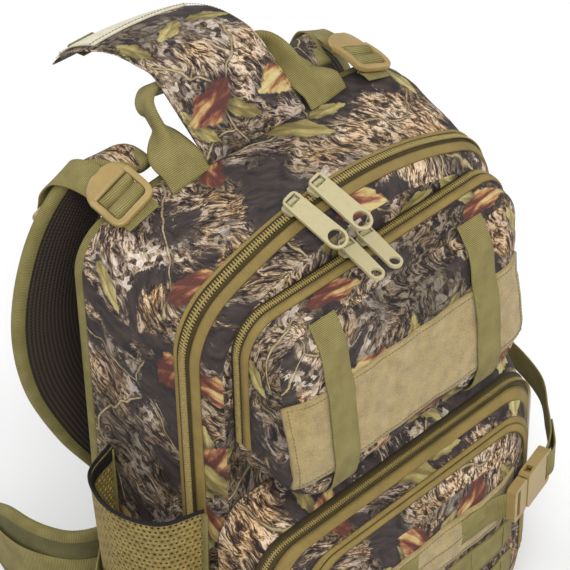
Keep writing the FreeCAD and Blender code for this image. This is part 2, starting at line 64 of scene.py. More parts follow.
# ---- driving dimensions: the bag's box from the frame, then the depths of its seams and zips ----
TOP = round(corners("back_panel")[1][2]) + 2.0
BACK_HALF = round(corners("back_panel")[1][0]) + 1.0
HALF = BACK_HALF - 7.0
BACK_Y = round(corners("back_panel")[1][1])
PANEL_Y = round(corners("back_panel")[0][1])
SEAM_Y = 30.0
ZIP_Y = -46.0
FRONT_Y = round(corners("front_panel")[0][1])
UPPER_ZIP_Y, LOWER_ZIP_Y, PIPING_Y = -76.0, -106.0, -128.0
WEB, WIDE_WEB = 25.0, 38.0
ABOVE = np.array([0, 0, TOP])    # for points whose heights are counted from the bag's top
SIDES = (("left", -1), ("right", 1))
STEP = 4.6                  # size of a cloth quad


# ---- mesh helpers ----
def linked(name, data):
    """New object in the scene."""
    obj = bpy.data.objects.new(name, data)
    bpy.context.scene.collection.objects.link(obj)
    return obj


def running(steps):
    """Running total of the steps, from 0."""
    return np.concatenate([[0], np.cumsum(steps)])


def lengths(line):
    """Length along a line up to each of its points."""
    return running(np.linalg.norm(np.diff(line, axis=0), axis=1))


class Shape:
    """Vertices in millimetres, faces, and UVs in millimetres along and across the cloth."""

    def __init__(self):
        self.verts, self.faces, self.uvs, self.slots = [], [], [], []

    def grid(self, points, uv=None, wrap=False, slot=0):
        """Quads between rows of points. With wrap, the last column joins the first."""
        points = np.asarray(points, float)
        rows, cols = points.shape[:2]
        if uv is None:
            uv = measured(points, wrap)
        base = len(self.verts)
        self.verts.extend(points.reshape(-1, 3).tolist())
        for i in range(rows - 1):
            for j in range(cols if wrap else cols - 1):
                k = (j + 1) % cols
                self.faces.append([base + i * cols + j, base + i * cols + k,
                                   base + (i + 1) * cols + k, base + (i + 1) * cols + j])
                self.uvs.append([uv[i][j], uv[i][j + 1], uv[i + 1][j + 1], uv[i + 1][j]])
                self.slots.append(slot)

    def face(self, points):
        base = len(self.verts)
        self.verts.extend(np.asarray(points, float).tolist())
        self.faces.append(list(range(base, base + len(points))))
        self.uvs.append([(p[0], p[2]) for p in points])
        self.slots.append(0)

    def tube(self, rows, uv=None, inward=False):
        """Grid closed round on itself, with a face at each end."""
        self.grid(rows, uv, wrap=True)
        ends = (rows[0][::-1], rows[-1]) if inward else (rows[0], rows[-1][::-1])
        for end in ends:
            self.face(end)

    def plate(self, upper, lower, uv_upper=None, uv_lower=None, slot=0):
        """Two grids of points and the four sides between them; slot is the lower grid's."""
        self.grid(upper, uv_upper)
        self.grid(lower, uv_lower, slot=slot)
        for cut in ((0, slice(None)), (-1, slice(None)), (slice(None), 0), (slice(None), -1)):
            self.grid(np.array([upper[cut], lower[cut]]))

    def mesh(self, name, materials, weld=0.02, shift=(0.0, 0.0)):
        """The finished object, in metres, with its UVs in units of 100 mm."""
        data = bpy.data.meshes.new(name)
        data.from_pydata([[c * MM for c in v] for v in self.verts], [], self.faces)
        layer = data.uv_layers.new(name="UVMap")
        flat = [((u[0] + shift[0]) / 100, (u[1] + shift[1]) / 100) for f in self.uvs for u in f]
        layer.data.foreach_set("uv", np.array(flat, np.float32).ravel())
        data.polygons.foreach_set("material_index", self.slots)
        for item in materials if isinstance(materials, tuple) else (materials,):
            data.materials.append(item)
        work = bmesh.new()
        work.from_mesh(data)
        if weld:
            bmesh.ops.remove_doubles(work, verts=work.verts, dist=weld * MM)
            bmesh.ops.recalc_face_normals(work, faces=work.faces)
        work.to_mesh(data)
        work.free()
        data.polygons.foreach_set("use_smooth", [True] * len(data.polygons))
        return linked(name, data)


def measured(points, wrap=False):
    """UVs from the mean distances between rows and between columns."""
    loop = np.concatenate([points, points[:, :1]], axis=1) if wrap else points
    u = running(np.linalg.norm(np.diff(loop, axis=1), axis=2).mean(0))
    v = running(np.linalg.norm(np.diff(loop, axis=0), axis=2).mean(1))
    return [[(a, b) for a in u] for b in v]


def coords(obj):
    """A mesh's points, in millimetres."""
    out = np.empty(len(obj.data.vertices) * 3, np.float64)
    obj.data.vertices.foreach_get("co", out)
    return out.reshape(-1, 3) / MM


def set_coords(obj, points):
    """Moves a mesh's points to these, given in millimetres."""
    obj.data.vertices.foreach_set("co", (np.asarray(points) * MM).astype(np.float32).ravel())
    obj.data.update()


def normals(obj):
    """Normals at a mesh's points."""
    out = np.empty(len(obj.data.vertices) * 3, np.float32)
    obj.data.vertices.foreach_get("normal", out)
    return out.reshape(-1, 3).astype(float)


def finish_piece(obj, body, replaces=(), levels=0):
    """Puts a finished piece on its body, smooths it by the given levels, and hides the CAD nodes that it
    stands for.
    """
    if levels:
        smooth = obj.modifiers.new("smooth", "SUBSURF")
        smooth.levels = smooth.render_levels = levels
    if body:
        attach(obj, body)
    if replaces:
        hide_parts(*replaces)
    return obj


def unit(v):
    """Vectors scaled to a length of 1."""
    v = np.asarray(v, float)
    return v / np.maximum(np.linalg.norm(v, axis=-1, keepdims=True), 1e-9)


def resample(points, count=None, step=None):
    """The same line, with points evenly spaced along it."""
    points = np.asarray(points, float)
    length = lengths(points)
    count = count or max(2, int(round(length[-1] / step)) + 1)
    at = np.linspace(0, length[-1], count)
    return np.stack([np.interp(at, length, points[:, k]) for k in range(points.shape[1])], 1)


def spline(points, step=3.0, count=None):
    """Smooth line through the points, evenly sampled."""
    p = np.asarray(points, float)
    p = np.vstack([2 * p[0] - p[1], p, 2 * p[-1] - p[-2]])
    out = []
    for i in range(1, len(p) - 2):
        for t in np.linspace(0, 1, 16, endpoint=False):
            a, b, c, d = p[i - 1:i + 3]
            out.append(0.5 * (2 * b + (c - a) * t + (2 * a - 5 * b + 4 * c - d) * t * t
                              + (3 * b - a - 3 * c + d) * t ** 3))
    out.append(p[-2])
    return resample(out, count=count, step=step)


def tangents(points):
    """Direction of a line at each of its points."""
    return unit(np.gradient(np.asarray(points, float), axis=0))


def flat_profile(width, thick):
    """Cross-section of webbing: flat faces and rounded selvedges, as (across, out) pairs."""
    edge = thick * 0.5
    across = np.linspace(-width / 2 + edge, width / 2 - edge, 5)
    upper = [(a, thick / 2) for a in across]
    lower = [(a, -thick / 2) for a in across[::-1]]
    return upper + [(width / 2, 0.0)] + lower + [(-width / 2, 0.0)]


def sweep(shape, line, across, profile):
    """Sweeps a closed profile along a line. across is the profile's first direction at each point."""
    line = np.asarray(line, float)
    across = np.broadcast_to(np.asarray(across, float), line.shape)
    ahead = tangents(line)
    across = unit(across - ahead * np.sum(across * ahead, axis=1, keepdims=True))
    out = np.cross(ahead, across)
    profile = np.asarray(profile, float)
    if profile.ndim == 2:
        profile = np.broadcast_to(profile, (len(line),) + profile.shape)
    rows = line[:, None] + across[:, None] * profile[..., :1] + out[:, None] * profile[..., 1:]
    ring = profile[len(line) // 2]
    girth = lengths(np.vstack([ring, ring[:1]]))
    shape.tube(rows, [[(a, g) for g in girth] for a in lengths(line)])


def swept(name, line, across, profile, material):
    """A piece made of one sweep."""
    shape = Shape()
    sweep(shape, line, across, profile)
    return shape.mesh(name, material)


def webbing(name, line, across, width, thick, body, *replaces):
    """A length of olive webbing on its body."""
    strap = swept(name, line, across, flat_profile(width, thick), OLIVE)
    return finish_piece(strap, body, replaces)


def power_oval(wide, thick, power_x, power_y, count):
    """Closed cross-section between an ellipse, with power 1, and a box, with power 0."""
    def raised(value, power):
        return math.copysign(abs(value) ** power, value)
    return [(wide / 2 * raised(math.cos(a), power_x), thick / 2 * raised(math.sin(a), power_y))
            for a in np.linspace(0, 2 * math.pi, count, endpoint=False)]


def bead(shape, centre, axis, side, length, radius):
    """One small rounded rod, such as a zip tooth or a stitch."""
    third = np.cross(axis, side)
    rows = [[centre + axis * length * along + (side * math.cos(a) + third * math.sin(a)) * radius * size
             for a in np.linspace(0, 2 * math.pi, 6, endpoint=False)]
            for along, size in ((-0.5, 0.35), (-0.36, 0.95), (0.36, 0.95), (0.5, 0.35))]
    shape.tube(np.array(rows), [[(0, 0)] * 7] * 4, inward=True)


def stitches(shape, line, outward, pitch, length, radius):
    """Lockstitches laid along a line on the cloth."""
    points = resample(line, step=pitch)
    ahead = tangents(points)
    outward = np.broadcast_to(np.asarray(outward, float), points.shape)
    for p, a, o in zip(points, ahead, outward):
        side = unit(o - a * np.dot(o, a))
        bead(shape, p, a, side, length, radius)


def tree_of(*objects):
    """One search tree over the faces of these objects, in millimetres."""
    verts, faces = [], []
    for obj in objects:
        base = len(verts)
        verts.extend(coords(obj).tolist())
        faces.extend([[base + i for i in p.vertices] for p in obj.data.polygons])
    return BVHTree.FromPolygons(verts, faces)


CLOTH_STIFFNESS = 12.0


def inflate(obj, pinned, pressure, cap, frames=20):
    """Swells the padded cloth under pressure, holds its seams, and keeps the result."""
    rest = coords(obj)
    group = obj.vertex_groups.new(name="seams")
    for i, weight in enumerate(pinned):
        if weight > 0:
            group.add([i], float(weight), "REPLACE")
    cloth = obj.modifiers.new("cloth", "CLOTH")
    cloth.point_cache.frame_start, cloth.point_cache.frame_end = 1, frames
    settings = cloth.settings
    settings.quality = 5
    settings.mass = 0.3
    settings.tension_stiffness = settings.compression_stiffness = CLOTH_STIFFNESS
    settings.shear_stiffness = CLOTH_STIFFNESS * 0.5
    settings.bending_stiffness = 1.5
    settings.use_pressure = True
    settings.uniform_pressure_force = pressure
    settings.vertex_group_mass = group.name
    settings.effector_weights.gravity = 0.0
    scene = bpy.context.scene
    for number in range(1, frames + 1):
        scene.frame_set(number)
    shown = obj.evaluated_get(bpy.context.evaluated_depsgraph_get())
    out = np.empty(len(rest) * 3)
    shown.data.vertices.foreach_get("co", out)
    move = out.reshape(-1, 3) / MM - rest
    size = np.linalg.norm(move, axis=1, keepdims=True)
    move *= cap * np.tanh(size / cap) / np.maximum(size, 1e-6)
    obj.modifiers.remove(cloth)
    obj.vertex_groups.remove(group)
    scene.frame_set(1)
    set_coords(obj, rest + move)


def relax(obj, rounds, keep, amount):
    """Evens out the mesh; keep is 1 where a vertex may not move."""
    edges = np.array([e.vertices[:] for e in obj.data.edges])
    points = coords(obj)
    count = np.bincount(edges.ravel(), minlength=len(points))[:, None]
    free = (1 - np.asarray(keep))[:, None] * amount
    for _ in range(rounds):
        total = np.zeros_like(points)
        np.add.at(total, edges[:, 0], points[edges[:, 1]])
        np.add.at(total, edges[:, 1], points[edges[:, 0]])
        points = points + (total / count - points) * free
    set_coords(obj, points)


def crumple(obj, amount, fade, size, seed, stretch=(1.0, 1.0, 1.0)):
    """Soft dents and ridges along the normals, as worn cloth has them."""
    points = coords(obj)
    scale = np.asarray(stretch) / size
    lift = []
    for p, f in zip(points, np.broadcast_to(fade, len(points))):
        q = Vector((p * scale).tolist()) + Vector((seed, seed * 0.7, -seed))
        soft = noise.noise(q) + 0.5 * noise.noise(q * 2.3)
        ridge = 0.5 - abs(noise.noise(q * 1.4 + Vector((7.1, 3.3, 1.9)))) * 2
        lift.append(f * amount * (soft + 0.45 * ridge))
    set_coords(obj, points + normals(obj) * np.array(lift)[:, None])


# ---- outlines of the bag ----
FOOT_STEPS, SIDE_STEPS, CORNER_STEPS, CREST_STEPS = 5, 76, 15, 54


class Outline:
    """Upright outline at one depth: one side from the foot up, and the crest over the top."""

    def __init__(self, y, half, top, low, corner, foot, crown=None):
        self.y = y
        wide = half - corner
        high = top - corner
        lean = 0.0
        if crown:
            high = top - crown + math.sqrt((crown - corner) ** 2 - wide ** 2)
            lean = math.atan2(wide, high - (top - crown))
        turn = np.linspace(-math.pi / 2, 0, FOOT_STEPS)
        bend = np.linspace(0, math.pi / 2 - lean, CORNER_STEPS)
        rise = np.linspace(low + foot, high, SIDE_STEPS)[1:-1]
        self.width = np.concatenate([half - foot + foot * np.cos(turn), np.full(len(rise), half),
                                     wide + corner * np.cos(bend)])
        self.height = np.concatenate([low + foot + foot * np.sin(turn), rise,
                                      high + corner * np.sin(bend)])
        x = np.linspace(-self.width[-1], self.width[-1], CREST_STEPS)
        z = top - crown + np.sqrt(crown ** 2 - x ** 2) if crown else np.full(CREST_STEPS, float(top))
        self.crest = np.stack([x, z], 1)

    def ring(self):
        left = np.stack([-self.width, self.height], 1)
        right = np.stack([self.width, self.height], 1)[::-1]
        floor = np.stack([np.linspace(self.width[0], -self.width[0], CREST_STEPS),
                          np.full(CREST_STEPS, self.height[0])], 1)[1:-1]
        flat = np.vstack([left, self.crest[1:-1], right, floor])
        return np.insert(flat, 1, self.y, axis=1)

    def sheet(self):
        """Rows of points over the whole face that the outline encloses."""
        t = np.linspace(-1, 1, CREST_STEPS)
        bow = self.crest[:, 1] - self.height[-1]
        middle = self.height[0] + (self.height[-1] - self.height[0]) * 0.4
        rows = []
        for w, z in zip(self.width, self.height):
            share = max(0.0, (z - middle) / (self.height[-1] - middle))
            rows.append(np.stack([w * t, np.full(len(t), self.y), z + bow * share], 1))
        return np.array(rows)


def arch(y, half, top, low=3.0, corner=50.0, crown=300.0, foot=16.0):
    """Outline of the bag, with its bowed top."""
    return Outline(y, half, top, low, corner, foot, crown)


POCKET_Y = -70.4            # where both front pockets are sewn to the front panel
LEAN_FROM = -84.0           # a pocket leans back only in front of this depth
BACK_ARCH = (34.0, 900.0)   # corner and crown of the bag's back
BODY = [arch(FRONT_Y, HALF - 13, TOP - 17, 8.0), arch(-62.0, HALF - 5, TOP - 7, 4.0),
        arch(ZIP_Y - 0.4, HALF - 1, TOP - 1, 4.0), arch(ZIP_Y, HALF, TOP),
        arch(SEAM_Y, BACK_HALF, TOP + 2, 3.0, *BACK_ARCH), arch(PANEL_Y, BACK_HALF, TOP, 3.0, *BACK_ARCH)]
UPPER = [Outline(*row) for row in ((-120.0, 121.0, TOP - 50, TOP - 182, 18, 32),
                                   (-113.0, 127.0, TOP - 43, TOP - 190, 22, 40),
                                   (-81.0, 128.5, TOP - 35.5, TOP - 194, 26, 58),
                                   (POCKET_Y, 128.5, TOP - 35.5, TOP - 194, 26, 58))]
LOWER = [Outline(*row) for row in ((-142.0, 92.0, TOP - 250, 50, 22, 44),
                                   (PIPING_Y, 118.0, TOP - 235, 30, 28, 44),
                                   (LOWER_ZIP_Y, 145.0, TOP - 221, 14, 30, 34),
                                   (POCKET_Y, 151.0, TOP - 195, 8, 30, 30))]


def ring_at(outlines, y):
    """Ring of the lofted cloth at any depth, as (x, z) pairs."""
    rings = np.array([o.ring() for o in outlines])
    depths = [o.y for o in outlines]
    k = min(max(np.searchsorted(depths, y) - 1, 0), len(depths) - 2)
    t = (y - depths[k]) / (depths[k + 1] - depths[k])
    mixed = rings[k] + (rings[k + 1] - rings[k]) * min(max(t, 0.0), 1.0)
    return mixed[:, [0, 2]]


def over_line(outlines, y, grow, z_low):
    """Line up the left side, over the crest and down the right side, moved outwards by grow."""
    ring = ring_at(outlines, y)
    ring = ring[:2 * (FOOT_STEPS + SIDE_STEPS + CORNER_STEPS - 2) + CREST_STEPS - 2]
    ahead = tangents(ring)
    moved = ring + np.stack([-ahead[:, 1], ahead[:, 0]], 1) * grow
    kept = moved[moved[:, 1] >= z_low]
    return np.insert(kept, 1, y, axis=1)


def cloth_skin(name, outlines, material, shift=(0, 0), front=True, back=True):
    """Closed shell through the outlines, with a sewn-on front and back."""
    rows = []
    for a, b in zip(outlines, outlines[1:]):
        ring_a, ring_b = a.ring(), b.ring()
        count = max(1, int(round(np.linalg.norm(ring_b - ring_a, axis=1).max() / STEP)))
        rows.extend(ring_a + (ring_b - ring_a) * t for t in np.linspace(0, 1, count, endpoint=False))
    rows.append(outlines[-1].ring())
    shape = Shape()
    shape.grid(np.array(rows), wrap=True)
    for outline, wanted in ((outlines[0], front), (outlines[-1], back)):
        if wanted:
            rows = outline.sheet()
            shape.grid(rows, rows[..., [0, 2]] + np.array([37.0, 55.0]))
    return shape.mesh(name, material, shift=shift)


# ---- materials ----
TONE = 0.74                 # share of a display colour that a surface reflects under the studio light


def rgb(r, g, b, tone=TONE):
    """Display colour from 0 to 255 as a linear surface colour."""
    def linear(c):
        c = c / 255.0
        return tone * (c / 12.92 if c <= 0.04045 else ((c + 0.055) / 1.055) ** 2.4)
    return (linear(r), linear(g), linear(b), 1.0)


class Graph:
    """Short way to write a node material."""

    def __init__(self, name, roughness=0.8, specular=0.3):
        self.material = bpy.data.materials.new(name)
        self.material.use_nodes = True
        self.tree = self.material.node_tree
        self.shader = self.tree.nodes["Principled BSDF"]
        self.fill(self.shader, {"Roughness": roughness, "Specular IOR Level": specular})

    def fill(self, node, inputs):
        """Links or sets inputs, given by name or number; None leaves an input as it is."""
        for key, value in inputs.items():
            if isinstance(value, bpy.types.NodeSocket):
                self.tree.links.new(value, node.inputs[key])
            elif value is not None:
                node.inputs[key].default_value = value
        return node

    def node(self, kind, *values, inputs=None, **settings):
        """New node of a kind, with its inputs in order or by name."""
        made = self.tree.nodes.new("ShaderNode" + kind)
        for key, value in settings.items():
            setattr(made, key, value)
        return self.fill(made, inputs or dict(enumerate(values)))

    def uv(self):
        return self.node("TexCoord").outputs["UV"]

    def place(self):
        return self.node("TexCoord").outputs["Object"]

    def scaled(self, vector, x, y, z=1.0, move=(0, 0, 0)):
        return self.node("Mapping", vector, move, (0, 0, 0), (x, y, z)).outputs[0]

    def turned(self, vector, angle):
        inputs = {"Vector": vector, "Angle": angle}
        return self.node("VectorRotate", rotation_type="Z_AXIS", inputs=inputs).outputs[0]

    def noise(self, vector, scale, detail=3.0, rough=0.55, distort=0.0, out="Fac"):
        inputs = {"Vector": vector, "Scale": scale, "Detail": detail, "Roughness": rough,
                  "Distortion": distort}
        return self.node("TexNoise", inputs=inputs).outputs[out]

    def cells(self, vector, scale, feature="F1", spread=1.0):
        inputs = {"Vector": vector, "Scale": scale, "Randomness": spread}
        return self.node("TexVoronoi", feature=feature, voronoi_dimensions="2D", inputs=inputs)

    def math(self, operation, a, b=0.0, c=0.0):
        return self.node("Math", a, b, c, operation=operation).outputs[0]

    def add(self, a, b):
        return self.math("ADD", a, b)

    def sub(self, a, b):
        return self.math("SUBTRACT", a, b)

    def mul(self, a, b):
        return self.math("MULTIPLY", a, b)

    def mad(self, a, b, c):
        """a times b plus c."""
        return self.math("MULTIPLY_ADD", a, b, c)

    def vector(self, operation, a, b):
        return self.node("VectorMath", a, b, operation=operation).outputs[0]

    def drifted(self, vector, drift, amount):
        return self.vector("ADD", vector, self.vector("MULTIPLY", drift, (amount, amount, 0.0)))

    def smooth(self, value, low, high):
        """0 below low, 1 above high."""
        made = self.node("MapRange", value, low, high, 0.0, 1.0, interpolation_type="SMOOTHSTEP")
        return made.outputs[0]

    def mix(self, factor, a, b, kind="MIX"):
        made = self.node("Mix", data_type="RGBA", blend_type=kind, inputs={0: factor, 6: a, 7: b})
        return made.outputs[2]

    def ramp(self, value, *stops):
        """Colours along a value. A stop is its place and a display colour, or a grey to darken others by."""
        made = self.node("ValToRGB", value)
        elements = made.color_ramp.elements
        while len(elements) < len(stops):
            elements.new(0.5)
        for element, (at, *color) in zip(elements, stops):
            element.position = at
            element.color = rgb(*color) if len(color) > 1 else rgb(*color * 3, 1.0)
        return made.outputs[0]

    def shaded(self, color, value, *stops, share=1.0):
        """The colour, darkened along a ramp."""
        return self.mix(share, color, self.ramp(value, *stops), "MULTIPLY")

    def parts(self, vector):
        return self.node("SeparateXYZ", vector).outputs

    def cloth(self):
        """UVs in units of 100 mm, and their two parts: along and across."""
        uv = self.uv()
        return uv, *self.parts(uv)[:2]

    def wave(self, value, pitch):
        """0 to 1 and back once per pitch, in units of 100 mm."""
        turned = self.mul(value, 2 * math.pi / pitch)
        return self.mad(self.math("SINE", turned), 0.5, 0.5)

    def bump(self, height, distance, strength):
        inputs = {"Strength": strength, "Distance": distance, "Height": height}
        return self.node("Bump", inputs=inputs).outputs[0]

    def done(self, color, normal=None, roughness=None):
        self.fill(self.shader, {"Base Color": color, "Normal": normal, "Roughness": roughness})
        return self.material


def leaf_layer(g, uv, spacing, length, width, few, palette, lobes):
    """Scattered leaves: one may grow in each cell. Gives their mask, their colour and a soft shadow."""
    cell = g.cells(uv, spacing, spread=0.3)
    tint = g.parts(cell.outputs["Color"])
    local = g.vector("SUBTRACT", uv, cell.outputs["Position"])
    turned = g.turned(local, g.mul(tint[0], 2 * math.pi))
    at = g.parts(turned)
    along = g.math("DIVIDE", at[0], length)
    bent = g.mad(g.mul(along, along), width * 0.3, at[1])
    beside = g.math("ABSOLUTE", g.math("DIVIDE", bent, width))
    body = g.sub(1.0, g.mul(along, along))
    teeth = g.mad(g.math("SINE", g.mul(along, lobes)), 0.12, 0.88)
    ragged = g.noise(uv, spacing * 14, 2.0)
    edge = g.add(g.mul(body, teeth), g.mad(ragged, 0.6, -0.30))
    inside = g.sub(edge, beside)
    grows = g.math("GREATER_THAN", tint[1], few)
    mask = g.mul(g.smooth(inside, 0.0, 0.16), grows)
    shadow = g.mul(g.smooth(inside, -0.55, 0.05), grows)
    streak = g.noise(g.scaled(turned, spacing * 2.4, spacing * 9.0), 1.0, 3.0)
    fade = g.mad(streak, 1.5, -0.40)
    tone = g.add(g.mad(along, 0.20, fade), g.mad(tint[2], 0.24, -0.10))
    color = g.ramp(tone, *palette)
    vein = g.smooth(beside, 0.07, 0.02)
    ribs = g.math("FRACT", g.mul(g.mad(beside, -0.5, along), 4.5))
    ribs = g.smooth(g.math("ABSOLUTE", g.sub(ribs, 0.5)), 0.07, 0.02)
    lines = g.math("MAXIMUM", vein, g.mul(ribs, 0.6))
    color = g.mix(g.mul(lines, 0.25), color, rgb(120, 82, 46))
    return mask, color, shadow


def camo_cloth():
    """Printed woodland cloth: bark, dark gaps, twigs and leaves, on an Oxford weave with painted shade
    between its threads.
    """
    g = Graph("camo_cloth", roughness=0.78, specular=0.28)
    uv, along, across = g.cloth()
    drift = g.vector("SUBTRACT", g.noise(uv, 2.6, 2.0, 0.5, out="Color"), (0.5, 0.5, 0.5))
    warped = g.drifted(uv, drift, 0.30)
    patch = g.cells(warped, 1.35)
    turned = g.turned(warped, g.mad(g.parts(patch.outputs["Color"])[0], 2.2, -1.1))
    grain = g.scaled(turned, 21.0, 8.0)
    bark = g.noise(grain, 1.0, 6.0, 0.66, 0.9)
    fine = g.noise(g.scaled(turned, 62.0, 24.0), 1.0, 4.0, 0.65, 0.5)
    bark = g.add(g.mul(bark, 0.62), g.mul(fine, 0.38))
    color = g.ramp(bark, (0.43, 36, 28, 32), (0.468, 86, 69, 62), (0.50, 134, 114, 90),
                   (0.53, 196, 172, 142), (0.57, 246, 230, 214), (0.64, 156, 138, 126))
    color = g.shaded(color, g.noise(uv, 2.2, 2.0), (0.35, 255, 233, 198, 1.0), (0.5, 255, 250, 238, 1.0),
                     (0.65, 222, 216, 218, 1.0))
    chips = g.cells(g.drifted(uv, drift, 0.12), 24.0)
    chip = g.mad(g.parts(chips.outputs["Color"])[0], 0.6, g.mul(fine, 0.5))
    litter = g.ramp(chip, (0.34, 46, 36, 38), (0.46, 112, 92, 74), (0.58, 186, 162, 134),
                    (0.72, 238, 224, 208))
    where = g.smooth(g.noise(warped, 1.5, 2.0), 0.50, 0.60)
    color = g.mix(g.mul(where, 0.7), color, litter)
    color = g.shaded(color, g.noise(warped, 0.8, 2.0), (0.40, 118), (0.56, 255), share=0.85)
    frayed = g.mad(fine, 0.30, g.noise(warped, 1.5, 3.0, 0.5, 0.9))
    dark = g.ramp(g.noise(grain, 0.7, 4.0), (0.35, 40, 33, 34), (0.7, 78, 66, 62))
    color = g.mix(g.smooth(frayed, 0.690, 0.720), color, dark)
    net = g.cells(g.drifted(uv, drift, 0.30), 0.85, "DISTANCE_TO_EDGE")
    some = g.smooth(g.noise(uv, 1.1, 1.0), 0.45, 0.48)
    twig = g.mad(fine, 0.020, g.sub(net.outputs["Distance"], 0.008))
    color = g.mix(g.mul(g.smooth(twig, 0.024, 0.012), g.mul(some, 0.6)), color, rgb(44, 36, 33))
    lit = g.ramp(g.noise(uv, 9.0, 3.0), (0.35, 150, 126, 84), (0.62, 206, 188, 140))
    color = g.mix(g.mul(g.smooth(twig, 0.011, 0.004), g.mul(some, 0.85)), color, lit)
    pale = ((0.15, 116, 102, 58), (0.45, 164, 150, 92), (0.70, 202, 188, 130), (0.95, 230, 220, 178))
    warm = ((0.20, 92, 50, 42), (0.32, 136, 80, 60), (0.42, 178, 134, 88), (0.53, 198, 176, 116),
            (0.90, 226, 212, 158))
    for spacing, *leaf in ((2.6, 0.19, 0.078, 0.78, pale, 9.0), (1.55, 0.27, 0.140, 0.60, warm, 7.0),
                           (1.4, 0.29, 0.12, 0.75, pale, 8.0)):
        moved = g.scaled(uv, 1.0, 1.0, move=(spacing * 3.3, spacing * 1.7, 0))
        mask, grown, shadow = leaf_layer(g, moved, spacing, *leaf)
        color = g.mix(g.mul(shadow, 0.6), color, rgb(38, 32, 32))
        color = g.mix(mask, color, grown)
    # Painted shade between the threads: the colour darkens where the weave dips.
    weave = g.mul(g.wave(along, 0.011), g.wave(across, 0.011))
    color = g.shaded(color, weave, (0.0, 90), (0.6, 255), share=0.16)
    weft = g.add(weave, g.mul(g.noise(uv, 160.0, 2.0), 0.6))
    return g.done(color, g.bump(weft, 0.00028, 0.55))


def webbing_cloth(name, light, dark, pitch, depth=0.0004):
    """Nylon webbing: cross ribs and fine warp threads, with painted highlight on their tops, painted shade
    between them, and soft wear.
    """
    g = Graph(name, roughness=0.72, specular=0.3)
    uv, along, across = g.cloth()
    wobble = g.mul(g.noise(uv, 30.0, 2.0), 0.006)
    ribs = g.wave(g.add(along, wobble), pitch)
    warp = g.wave(across, 0.0085)
    height = g.add(g.mul(ribs, 0.75), g.mul(warp, 0.25))
    # Painted light: light is a painted highlight on the rib tops, dark a painted shade in the grooves.
    color = g.ramp(height, (0.05, *dark), (0.75, *light))
    color = g.shaded(color, g.noise(uv, 5.0, 3.0), (0.35, 226, 222, 205, 1.0), (0.65, 255))
    return g.done(color, g.bump(height, depth, 0.8))


def tape_cloth():
    """Zip tape: tan herringbone with a fine lengthwise rib, with painted highlight on its raised threads and
    painted shade in its grooves.
    """
    g = Graph("zip_tape", roughness=0.7, specular=0.32)
    uv, along, across = g.cloth()
    slant = g.math("ABSOLUTE", g.sub(g.math("FRACT", g.mul(across, 16.0)), 0.5))
    twill = g.wave(g.add(along, g.mul(slant, 0.04)), 0.010)
    # Painted highlight on the raised threads and painted shade in the grooves.
    color = g.ramp(twill, (0.0, 110, 91, 42), (0.8, 164, 140, 76))
    color = g.shaded(color, g.noise(uv, 4.0, 3.0), (0.3, 222), (0.7, 255))
    return g.done(color, g.bump(twill, 0.0003, 0.6))


def plain_plastic(name, light, dark, roughness, specular, scale, detail, strength):
    """Plastic of one colour with a fine grain."""
    g = Graph(name, roughness=roughness, specular=specular)
    grain = g.noise(g.place(), scale, detail)
    return g.done(g.ramp(grain, (0.3, *dark), (0.7, *light)), g.bump(grain, 0.0001, strength))


def painted_metal(name, light, dark, roughness):
    """Cream enamel over zinc, thinner and greyer where it rubs."""
    g = Graph(name, roughness=roughness, specular=0.5)
    place = g.place()
    rub = g.noise(place, 260.0, 5.0, 0.7)
    color = g.ramp(rub, (0.22, *dark), (0.36, *light), (0.8, *[c + 8 for c in light]))
    g.fill(g.shader, {"Coat Weight": 0.25, "Coat Roughness": 0.25})
    peel = g.noise(place, 700.0, 2.0)
    shine = g.mad(rub, 0.25, roughness - 0.1)
    return g.done(color, g.bump(peel, 0.00012, 0.35), shine)


def moulded_plastic():
    """Tan acetal: smooth, with a faint moulding texture and lighter scuffs."""
    g = Graph("buckle_plastic", roughness=0.4, specular=0.45)
    place = g.place()
    tone = g.noise(place, 35.0, 4.0)
    color = g.ramp(tone, (0.3, 146, 122, 70), (0.7, 166, 141, 85))
    scuff = g.smooth(g.noise(g.scaled(place, 900.0, 160.0, 500.0), 1.0, 3.0), 0.66, 0.74)
    color = g.mix(g.mul(scuff, 0.35), color, rgb(214, 192, 146))
    grain = g.noise(place, 1500.0, 2.0)
    return g.done(color, g.bump(grain, 0.00006, 0.5), g.mad(tone, 0.2, 0.3))


def pile_cloth(name, light, dark):
    """Brushed loop pile: tiny tangled loops that lie in soft patches."""
    g = Graph(name, roughness=0.95, specular=0.15)
    uv = g.uv()
    loops = g.noise(uv, 120.0, 4.0, 0.75, 1.2)
    patches = g.noise(uv, 9.0, 3.0)
    tone = g.add(g.mul(loops, 0.65), g.mul(patches, 0.35))
    color = g.ramp(tone, (0.38, *dark), (0.56, *light), (0.72, *[min(255, c + 22) for c in light]))
    g.fill(g.shader, {"Sheen Weight": 0.25, "Sheen Roughness": 0.5})
    return g.done(color, g.bump(loops, 0.0011, 0.8))


def knit_cloth(name, light, dark, pitch_u, pitch_v, depth):
    """Knitted spacer mesh or elastic: rows of small loops with gaps between them, with painted highlight on
    the loops and painted shade in the gaps.
    """
    g = Graph(name, roughness=0.85, specular=0.25)
    uv, along, across = g.cloth()
    rows = g.wave(along, pitch_u)
    gaps = g.wave(g.add(across, g.mul(rows, pitch_v * 0.3)), pitch_v)
    height = g.mul(g.mad(rows, 0.7, 0.3), g.mad(gaps, 0.6, 0.4))
    fuzz = g.mad(g.noise(uv, 90.0, 2.0), 0.25, height)
    # Painted shade in the gaps and painted highlight on the loops.
    color = g.ramp(fuzz, (0.15, *dark), (0.95, *light))
    return g.done(color, g.bump(height, depth, 0.8))


